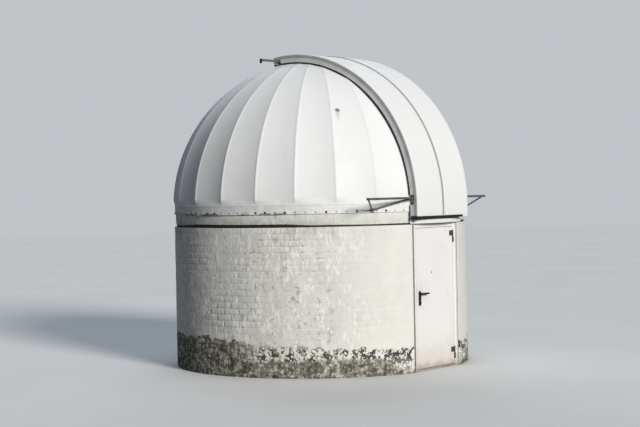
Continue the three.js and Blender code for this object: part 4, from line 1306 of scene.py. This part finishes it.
def goreFace(angles, inside):
    # points of the outer or the inner face, row by row
    step = 360 / gores["count"]
    radius = domeRadius - (gores["sheet"] if inside else 0.0)
    band = gores["bandInner"] if inside else gores["bandOuter"]
    radians = np.radians(angles)
    across = np.mod(angles, step)
    dip = gores["dip"] * (1 - ((across - step / 2) / (step / 2)) ** 2)
    toRidge = np.radians(np.minimum(across, step - across))
    found = []
    for z, elevation in goreHeights():
        height, share = z, smoothRise(z, gores["foot"], gores["full"])
        reach = np.full(len(angles), band)
        if elevation is not None:
            reach += (radius * math.cos(elevation) * (1 - dip) - band) * share
            height = domeCentre + radius * math.sin(elevation) if share >= 1 else z
        if not inside:
            reach = goreRelief(reach, radians, toRidge, z, share)
        found.append(onRings(reach, radians, height))
    return np.array(found)


def buildGores():
    # two gores to a piece, cut along the slit's ribs and at its rear end
    panelStep = 720 / gores["count"]
    panelCount = gores["count"] // 2 - 1
    gap = math.degrees(seat / 2 / domeRadius)
    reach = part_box("slit_rib_right")[1].x + seat
    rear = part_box("slit_header")[1].y + seat
    near, far = gores["pastSlit"]
    for index in range(panelCount):
        start = (index + 0.5) * panelStep
        end = start + panelStep
        angles = goreColumns(start, 2)
        angles = [start + gap] + angles[1:-1] + [end - gap]
        if index == 0:
            angles = [start - far, start - near] + angles[1:]
        if index == panelCount - 1:
            angles = angles[:-1] + [end + near, end + far]
        outer, inner = goreFace(angles, False), goreFace(angles, True)
        points = np.concatenate([outer.reshape(-1, 3), inner.reshape(-1, 3)])
        piece = finishPiece(f"gore_pair_{index + 1}", points, shellFaces(len(outer), len(angles)), "dome",
                            [whiteShell], [f"dome_panel_{index + 1}"], 40)
        cutAway(piece, (-reach, gores["cutFront"], 0), (reach, rear, gores["cutTop"]))
    print("gores built")


buildGores()


# apron below the band, with its seam straps

apron = {
    "sheets": {"skirt_right": 45, "skirt_back": 135, "skirt_left": 225, "skirt_front": 315},  # from degrees
    "sheetDegrees": 90, "columnDegrees": 1.25,
    "rows": [0, 0.003, 0.02, 0.05, 0.085, 0.12, 0.146, 0.16, 0.185],
    "buckle": 0.0028, "buckleFrom": (0.03, 0.145),
    "edgeRise": 0.005, "edgeWave": 0.005, "edgeHeight": 0.06,
    "edgeLift": 0.021, "liftStart": (238, 256), "liftEnd": (294, 308),
    "strapHalf": 1.0, "strapInner": 0.0006, "strapOuter": 0.0048, "strapLow": 0.026, "strapHigh": -0.006,
    "rivet": [(0, 0), (0.0055, 0), (0.0044, 0.0022), (0, 0.003025)], "rivetAside": 0.62,
    "rivetFace": 0.0045, "rivetInset": 0.018, "rivetRows": 4,
}


def apronGrid(degrees, reach, outside):
    # one face of a sheet, row by row, with a wavy foot that lifts along the left side
    radians = np.radians(degrees)
    lift = smoothRise(degrees, *apron["liftStart"]) * smoothFall(degrees, *apron["liftEnd"])
    grid = []
    for rise in apron["rows"]:
        z = np.full(len(degrees), skirtBottom + rise)
        spots = onRings(reach, radians, z)
        wave = apron["edgeWave"] * softNoise(spots * (1, 1, 0), 1.9, 41)
        foot = apron["edgeRise"] + apron["edgeLift"] * lift + wave
        z = z + smoothFall(rise, 0.0, apron["edgeHeight"]) * foot
        swell = apron["buckle"] * smoothFall(rise, *apron["buckleFrom"]) * softNoise(spots, 2.6, 42)
        grid.append(onRings(reach + (swell if outside else 0.0), radians, z))
    return np.concatenate(grid)


def buildApron():
    gap = math.degrees(seat / 2 / skirtOuter)
    columns = int(apron["sheetDegrees"] / apron["columnDegrees"]) + 1
    for nodeName, start in apron["sheets"].items():
        degrees = np.linspace(start + gap, start + apron["sheetDegrees"] - gap, columns)
        points = np.concatenate([apronGrid(degrees, skirtOuter, True), apronGrid(degrees, skirtInner, False)])
        faces = shellFaces(len(apron["rows"]), columns)
        piece = finishPiece(nodeName.replace("skirt", "apron"), points, faces, "dome", [weatheredSkirt],
                            [nodeName], 50)
        roundEdges(piece, 0.001, 1, 50)


def buildStraps():
    # a riveted strap over each seam of the apron
    low, high = skirtBottom + apron["strapLow"], gores["bandBottom"] + apron["strapHigh"]
    inner, outer = skirtOuter + apron["strapInner"], skirtOuter + apron["strapOuter"]
    straps = Shape()
    for seam in apron["sheets"].values():
        across = np.linspace(seam + apron["strapHalf"], seam - apron["strapHalf"], 5)
        section = [(degrees, outer) for degrees in across[::-1]] + [(degrees, inner) for degrees in across]
        straps.loft([[aroundAxis(degrees, reach, z) for degrees, reach in section] for z in (low, high)])
        for degrees in (seam - apron["rivetAside"], seam + apron["rivetAside"]):
            for z in np.linspace(low + apron["rivetInset"], high - apron["rivetInset"], apron["rivetRows"]):
                spot = aroundAxis(degrees, skirtOuter + apron["rivetFace"], z)
                straps.lathe(apron["rivet"], placeAt(spot, outwards(degrees)), 12)
    straps.piece("apron_straps", "dome", [weatheredSkirt], "weathered_skirt", smoothDegrees=40)


# bolts of the band, and one bolt high on a gore with a dark smear below it

bandBolts = {"proud": 0.0015, "size": 0.0085, "rustedSize": 1.25, "cleanSize": 0.85, "turn": 0.7,
             "rusted": 0.15, "rustedLeft": 0.5, "leftFrom": -1.2, "slitClear": 0.03, "footClear": 1.2}


def buildBandBolts():
    shape = Shape()
    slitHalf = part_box("slit_rib_right")[1].x + bandBolts["slitClear"]
    for index in range(int(360 / boltStep)):
        degrees = index * boltStep
        spot = aroundAxis(degrees, gores["bandOuter"] + bandBolts["proud"], boltHeight)
        fromFoot = min(abs((degrees - foot + 180) % 360 - 180) for foot in bracketFeet)
        if (abs(spot.x) < slitHalf and spot.y < 0) or fromFoot < bandBolts["footClear"]:
            continue
        chance = bandBolts["rustedLeft"] if spot.x < bandBolts["leftFrom"] else bandBolts["rusted"]
        rusted = hashedValue(np.array([index, 5, 0]), 71) < chance
        size = bandBolts["size"] * bandBolts["rustedSize" if rusted else "cleanSize"]
        shape.bolt(spot, outwards(degrees), size, index * bandBolts["turn"], int(rusted))
    shape.piece("band_bolts", "dome", [boltSteel, rustedSteel], "galvanised_steel", smoothDegrees=30)


def buildLoneBolt():
    spot, normal = loneBoltPlace()
    size, foot = loneBolt["size"], loneBolt["foot"]
    profile = [(0, foot), (size, foot)] + [(size * across, size * up) for across, up in loneBolt["cap"]]
    shape = Shape()
    shape.lathe(profile, placeAt(spot, normal), 20)
    shape.piece("lone_bolt", "dome", [rustedSteel], "galvanised_steel", smoothDegrees=30)


# black brush that closes the gap to the wall, its black partly painted shade for that gap, and the drip sheet
# in front of its opening under the slit

brush = {"inner": 2.0525, "outer": 2.0585, "top": 2.045, "bottom": 1.9765, "ragged": 0.002,
         "ends": (14.0, 345.3), "steps": 690}
drip = {"bottom": 1.986, "top": 2.0375, "sheet": 0.003, "outer": 2.108, "half": 0.598,
        "steps": 41, "edge": 0.0008}


def buildShadeBrush():
    # a brush seal, black as painted shade in the gap between the apron and the wall
    degrees = np.linspace(*brush["ends"], brush["steps"])
    spots = onRings(1.0, np.radians(degrees), 0.0)
    lower = brush["bottom"] + brush["ragged"] * (2 + softNoise(spots, 40.0, 51) + softNoise(spots, 5.0, 52))
    inner, outer, top = brush["inner"], brush["outer"], brush["top"]
    rings = []
    for angle, low in zip(degrees, lower):
        corners = ((inner, low), (inner, top), (outer, top), (outer, low))
        rings.append([aroundAxis(angle, reach, z) for reach, z in corners])
    shape = Shape()
    shape.loft(rings)
    shape.piece("gap_shade_brush", "dome", [blackRubber], "black_fittings")


def buildDripSheet():
    # out from the apron at its top and down in front of the gap
    inner, outer, thick = skirtOuter + seat, drip["outer"], drip["sheet"]
    low, high = drip["bottom"], drip["top"]
    section = [(inner, high - thick), (outer - thick, high - thick), (outer - thick, low), (outer, low),
               (outer, high), (inner, high)]
    reach = math.degrees(math.asin(drip["half"] / outer))
    shape = Shape()
    shape.loft([[aroundAxis(degrees, radius, z) for radius, z in section]
                for degrees in np.linspace(-reach, reach, drip["steps"])])
    piece = shape.piece("slit_drip_sheet", "dome", [whiteShutter], "white_dome_shell", smoothDegrees=30)
    roundEdges(piece, drip["edge"], 1)


buildApron()
buildStraps()
buildDripSheet()
buildBandBolts()
buildLoneBolt()
buildShadeBrush()
print("apron, bolts and brush built")


# shutters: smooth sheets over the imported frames, edge trims, foot seals and the seam's strip

shutters = {
    "halfWidth": -shutterLow.x, "seam": 0.005, "uprightRows": 6, "arcRows": 60, "edgeRadius": 0.004,
    "wave": 0.0012, "rearY": 0.31, "flange": 0.012, "footFront": 0.004, "footBack": 0.035,
    "shoeAround": 0.02, "shoeReach": 0.04,
    "plateInset": 0.003, "plateThick": 0.011, "plateAbove": 0.015, "plateOverlap": 0.002,
}
shutterEdge = {
    "gap": 0.0002, "trimThick": 0.0035, "trimInner": 2.097, "trimOuter": 2.133,
    "lipInner": 2.019, "lipOuter": 2.034, "lipBend": 0.0045, "lipProud": 0.002,
    "notches": {"lower_rail": {"front": 0.3, "back": 0.4, "below": 0.35, "above": 0.027},
                "upper_rail": {"front": 0.012, "back": 0.012, "below": 0.3, "above": 0.05}},
    "notchReach": 2,
}
footSeal = {
    "low": 2.0565, "high": 2.086, "thick": 0.0035, "under": 0.03, "gap": 0.0002, "edge": 0.0015,
    "ends": {"left": (0.012, 0.004), "right": (0.02, -0.13)},  # from the seam, and past the outer edge
    "corner": [(-0.05, -0.016, 0.006, -0.0003), (0.0042, -0.016, 0.012, 0.03)],
    "cornerFront": 0.002, "cornerBack": -2.045,
}
seamCover = {"left": -0.014, "right": 0.022, "thick": 0.007, "lift": 0.005, "gap": 0.0003,
             "leftBevel": (0.003, 0.001), "rightBevel": (0.006, 0.002),
             "footFront": 0.0015, "footLow": 0.004, "footHigh": 0.022, "footAside": 0.001}


def archStations():
    # (drop below the dome's centre, angle up from the front) along the arch
    drops = np.linspace(domeCentre - shutterLow.z, 0, shutters["uprightRows"] + 1)[:-1]
    last = math.pi / 2 + math.asin(shutters["rearY"] / shutterRadius)
    angles = np.linspace(0, last, shutters["arcRows"] + 1)
    return [(drop, 0.0) for drop in drops] + [(0.0, angle) for angle in angles]


def archRings(section, side):
    # sections of (x, reach) corners swept over the arch, mirrored for the left side
    rings = []
    for drop, angle in archStations():
        ring = [(side * x, -reach * math.cos(angle), domeCentre + reach * math.sin(angle) - drop)
                for x, reach in section]
        rings.append(ring[::side])
    return rings


def sheetSection():
    # clockwise seen from the front, with rounded outer corners
    low, high = shutters["seam"], shutters["halfWidth"]
    inner, outer = shutterRadius - shutterSheet, shutterRadius
    bends = [math.radians(30 * step) for step in range(4)]
    corner = [(shutters["edgeRadius"] * (1 - math.cos(bend)), shutters["edgeRadius"] * (1 - math.sin(bend)))
              for bend in bends]
    section = [(high, inner), (low, inner)]
    section += [(low + across, outer - up) for across, up in corner]
    section += [(low + (high - low) * share, outer) for share in np.linspace(0.08, 0.92, 11)]
    section += [(high - up, outer - across) for across, up in corner]
    return section


def wavedSpot(x, y, z):
    # a point of the sheet's outer face, pressed in a little
    above = z > domeCentre
    reach = math.hypot(y, z - domeCentre) if above else -y
    if reach <= shutterRadius - 0.001:
        return x, y, z
    shift = shutters["wave"] * (float(softNoise(np.array([x, y, z]), 2.1, 61)) - 1) * 0.5
    scale = 1 + shift / reach
    return x, y * scale, domeCentre + (z - domeCentre) * scale if above else z


def buildSheet(sideName, side):
    # the arched sheet with a narrow foot plate and a rear plate that reaches down to the dome
    shape = Shape()
    shape.loft([[wavedSpot(*spot) for spot in ring] for ring in archRings(sheetSection(), side)])
    seam = side * shutters["seam"]
    end = side * (shutters["halfWidth"] - shutters["flange"] - seat)
    low = shutterLow.z
    shape.box((seam, -shutterRadius + shutters["footFront"], low),
              (end, -shutterRadius + shutters["footBack"], low + shutterSheet))
    back = shutters["rearY"] - shutters["plateInset"]
    front = back - shutters["plateThick"]
    overDome = math.sqrt(domeRadius ** 2 - front ** 2) + shutters["plateAbove"]
    underSheet = math.sqrt((shutterRadius - shutterSheet) ** 2 - shutters["rearY"] ** 2)
    top = domeCentre + underSheet + shutters["plateOverlap"]
    outline = [(x, domeCentre + math.sqrt(overDome ** 2 - x ** 2)) for x in np.linspace(seam, end, 17)]
    outline += [(end, top), (seam, top)]
    shape.extrude(outline[::side], -back, -front, facingFront)
    shape.piece(f"{sideName}_shutter_sheet", f"{sideName}_shutter", [whiteShutter], "white_dome_shell",
                [f"{sideName}_shutter_skin"], 40)


def markShoes(piece):
    # the shoes round the two rails are dark steel
    piece.data.materials.append(railSteel)
    around, reach = shutters["shoeAround"], shutters["shoeReach"]
    for nodeName in ("lower_rail", "upper_rail"):
        low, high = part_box(nodeName)
        for face in piece.data.polygons:
            spot = face.center
            heights = [piece.data.vertices[index].co.z for index in face.vertices]
            near = low.y - around < spot.y < high.y + around and low.z - around < spot.z < high.z + around
            if near and max(heights) < high.z + reach and min(heights) > low.z - reach:
                face.material_index = 1


def buildEdge(sideName, side):
    # grey trim outside the sheet's edge, and a dark lip along the flange, open at the rails; the lip is a
    # rubber strip whose black is partly painted shade for the gap between flange and dome
    body = f"{sideName}_shutter"
    x = shutters["halfWidth"] + shutterEdge["gap"]
    inner, outer, end = shutterEdge["trimInner"], shutterEdge["trimOuter"], x + shutterEdge["trimThick"]
    trim = Shape()
    trim.loft(archRings([(x, inner), (x, outer), (end, outer), (end, inner)], side))
    trim.piece(f"{sideName}_shutter_trim", body, [trimPaint], "galvanised_steel", smoothDegrees=40)

    inner, outer = shutterEdge["lipInner"], shutterEdge["lipOuter"]
    start, end, bend = x - shutters["flange"], x + shutterEdge["lipProud"], outer - shutterEdge["lipBend"]
    section = [(end, inner), (end, outer), (x, outer), (x, bend), (start, bend), (start, inner)]
    # the lip is black as painted shade in the gap under the flange's inner edge
    lip = Shape()
    lip.loft(archRings(section, side))
    piece = lip.piece(f"{sideName}_flange_shade_lip", body, [blackRubber], "black_fittings", smoothDegrees=40)
    for nodeName, notch in shutterEdge["notches"].items():
        low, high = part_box(nodeName)
        cutAway(piece, (-shutterEdge["notchReach"], low.y - notch["front"], low.z - notch["below"]),
                (shutterEdge["notchReach"], high.y + notch["back"], high.z + notch["above"]))


def buildFootSeal(sideName, side):
    # rubber in front of the sheet's foot and under it; the left one wraps the outer corner
    fromSeam, pastEdge = footSeal["ends"][sideName]
    start = side * (shutters["seam"] + fromSeam)
    end = side * (shutters["halfWidth"] + pastEdge)
    front = -shutterRadius - footSeal["thick"]
    seal = Shape()
    seal.box((start, front, footSeal["low"]), (end, -shutterRadius - footSeal["gap"], footSeal["high"]))
    seal.box((start, front, footSeal["low"]),
             (end, -shutterRadius + footSeal["under"], shutterLow.z - footSeal["gap"]))
    if side < 0:
        edge = shutterLow.x
        for near, low, far, high in footSeal["corner"]:
            seal.box((edge - near, front - footSeal["cornerFront"], shutterLow.z + low),
                     (edge - far, footSeal["cornerBack"], shutterLow.z + high))
    piece = seal.piece(f"{sideName}_foot_seal", f"{sideName}_shutter", [blackRubber], "black_fittings")
    roundEdges(piece, footSeal["edge"])


def buildSeamStrip():
    # stands on the right sheet and reaches over the left one, with a dark foot; its grey is partly painted
    # shade for the gap between the two sheets
    left, right, seam = seamCover["left"], seamCover["right"], shutters["seam"]
    foot = shutterRadius + seat
    over, top = foot + seamCover["lift"] - seamCover["gap"], foot + seamCover["thick"]
    (leftIn, leftDown), (rightIn, rightUp) = seamCover["leftBevel"], seamCover["rightBevel"]
    section = [(right, foot), (seam, foot), (seam, over), (left, over), (left, top - leftDown),
               (left + leftIn, top), (right - rightIn, top), (right, foot + rightUp)]
    strip = Shape()
    strip.loft(archRings(section, 1))
    aside = seamCover["footAside"]
    strip.box((left - aside, -top - seamCover["footFront"], shutterLow.z - seamCover["footLow"]),
              (right + aside, -foot - seamCover["lift"], shutterLow.z + seamCover["footHigh"]), 1)
    strip.piece("seam_cover", "right_shutter", [seamSealAndShade, blackRubber], "seam_seal",
                ["shutter_seam_strip"], 40)


for sideName, side in (("left", -1), ("right", 1)):
    buildSheet(sideName, side)
    dressNode(f"{sideName}_shutter_frame", flangePaint)
    markShoes(nodes[f"{sideName}_shutter_frame"])
    buildEdge(sideName, side)
    buildFootSeal(sideName, side)
buildSeamStrip()
print("shutters built")


# rails, their end caps, the stops and the bolts on the bracket feet

rails = {
    "capGap": 0.0003, "capThick": 0.004, "capHalf": 0.0155, "capEdge": 0.002,
    "stopAside": 0.0195, "stopBelow": 0.045, "stopAbove": 0.0185, "stopThick": 0.009, "stopInset": 0.0095,
    "footFace": 2.0872, "footHeight": 2.18, "boltAside": 0.024, "boltUp": 0.019, "boltSize": 0.0065,
    "edge": 0.0025,
}


def buildRailFittings():
    caps = Shape()
    for nodeName in ("lower_rail", "upper_rail"):
        low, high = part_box(nodeName)
        y, z = (low.y + high.y) / 2, (low.z + high.z) / 2
        half, aside = rails["capHalf"], rails["stopAside"]
        for x, sign in ((low.x, -1), (high.x, 1)):
            caps.box((x + sign * rails["capGap"], y - half, z - half),
                     (x + sign * rails["capThick"], y + half, z + half))
            if nodeName == "upper_rail":
                inner = x - sign * rails["stopInset"]
                caps.box((inner, y - aside, z - rails["stopBelow"]),
                         (inner + sign * rails["stopThick"], y + aside, z + rails["stopAbove"]))
        dressNode(nodeName, railSteel, rails["edge"])
    roundEdges(caps.piece("rail_caps", "dome", [blackRubber], "black_fittings"), rails["capEdge"])


def buildBracketBolts():
    bolts = Shape()
    across, up = rails["boltAside"], rails["boltUp"]
    for foot in bracketFeet:
        face = outwards(foot)
        for aside, rise in itertools.product((-across, across), (-up, up)):
            spot = face * rails["footFace"] + outwards(foot + 90) * aside
            spot.z = rails["footHeight"] + rise
            bolts.bolt(spot, face, rails["boltSize"], aside * 90)
    bolts.piece("bracket_bolts", "dome", [boltSteel], "galvanised_steel", smoothDegrees=30)
    for nodeName in ("rail_bracket_left", "rail_bracket_right"):
        dressNode(nodeName, railSteel)


buildRailFittings()
buildBracketBolts()


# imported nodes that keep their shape

for nodeName, edge in (("floor_slab", 0.0), ("door_sill", 0.004), ("door_lintel", 0.0)):
    dressNode(nodeName, concrete, edge)
for number in range(1, 7):
    dressNode(f"wall_segment_{number}", masonry)
for nodeName in ("base_ring", "roller_plate"):
    dressNode(nodeName, ringSteel)
for nodeName in ("slit_rib_left", "slit_rib_right", "slit_sill", "slit_header"):
    dressNode(nodeName, whiteShell)
print("packed nodes dressed")
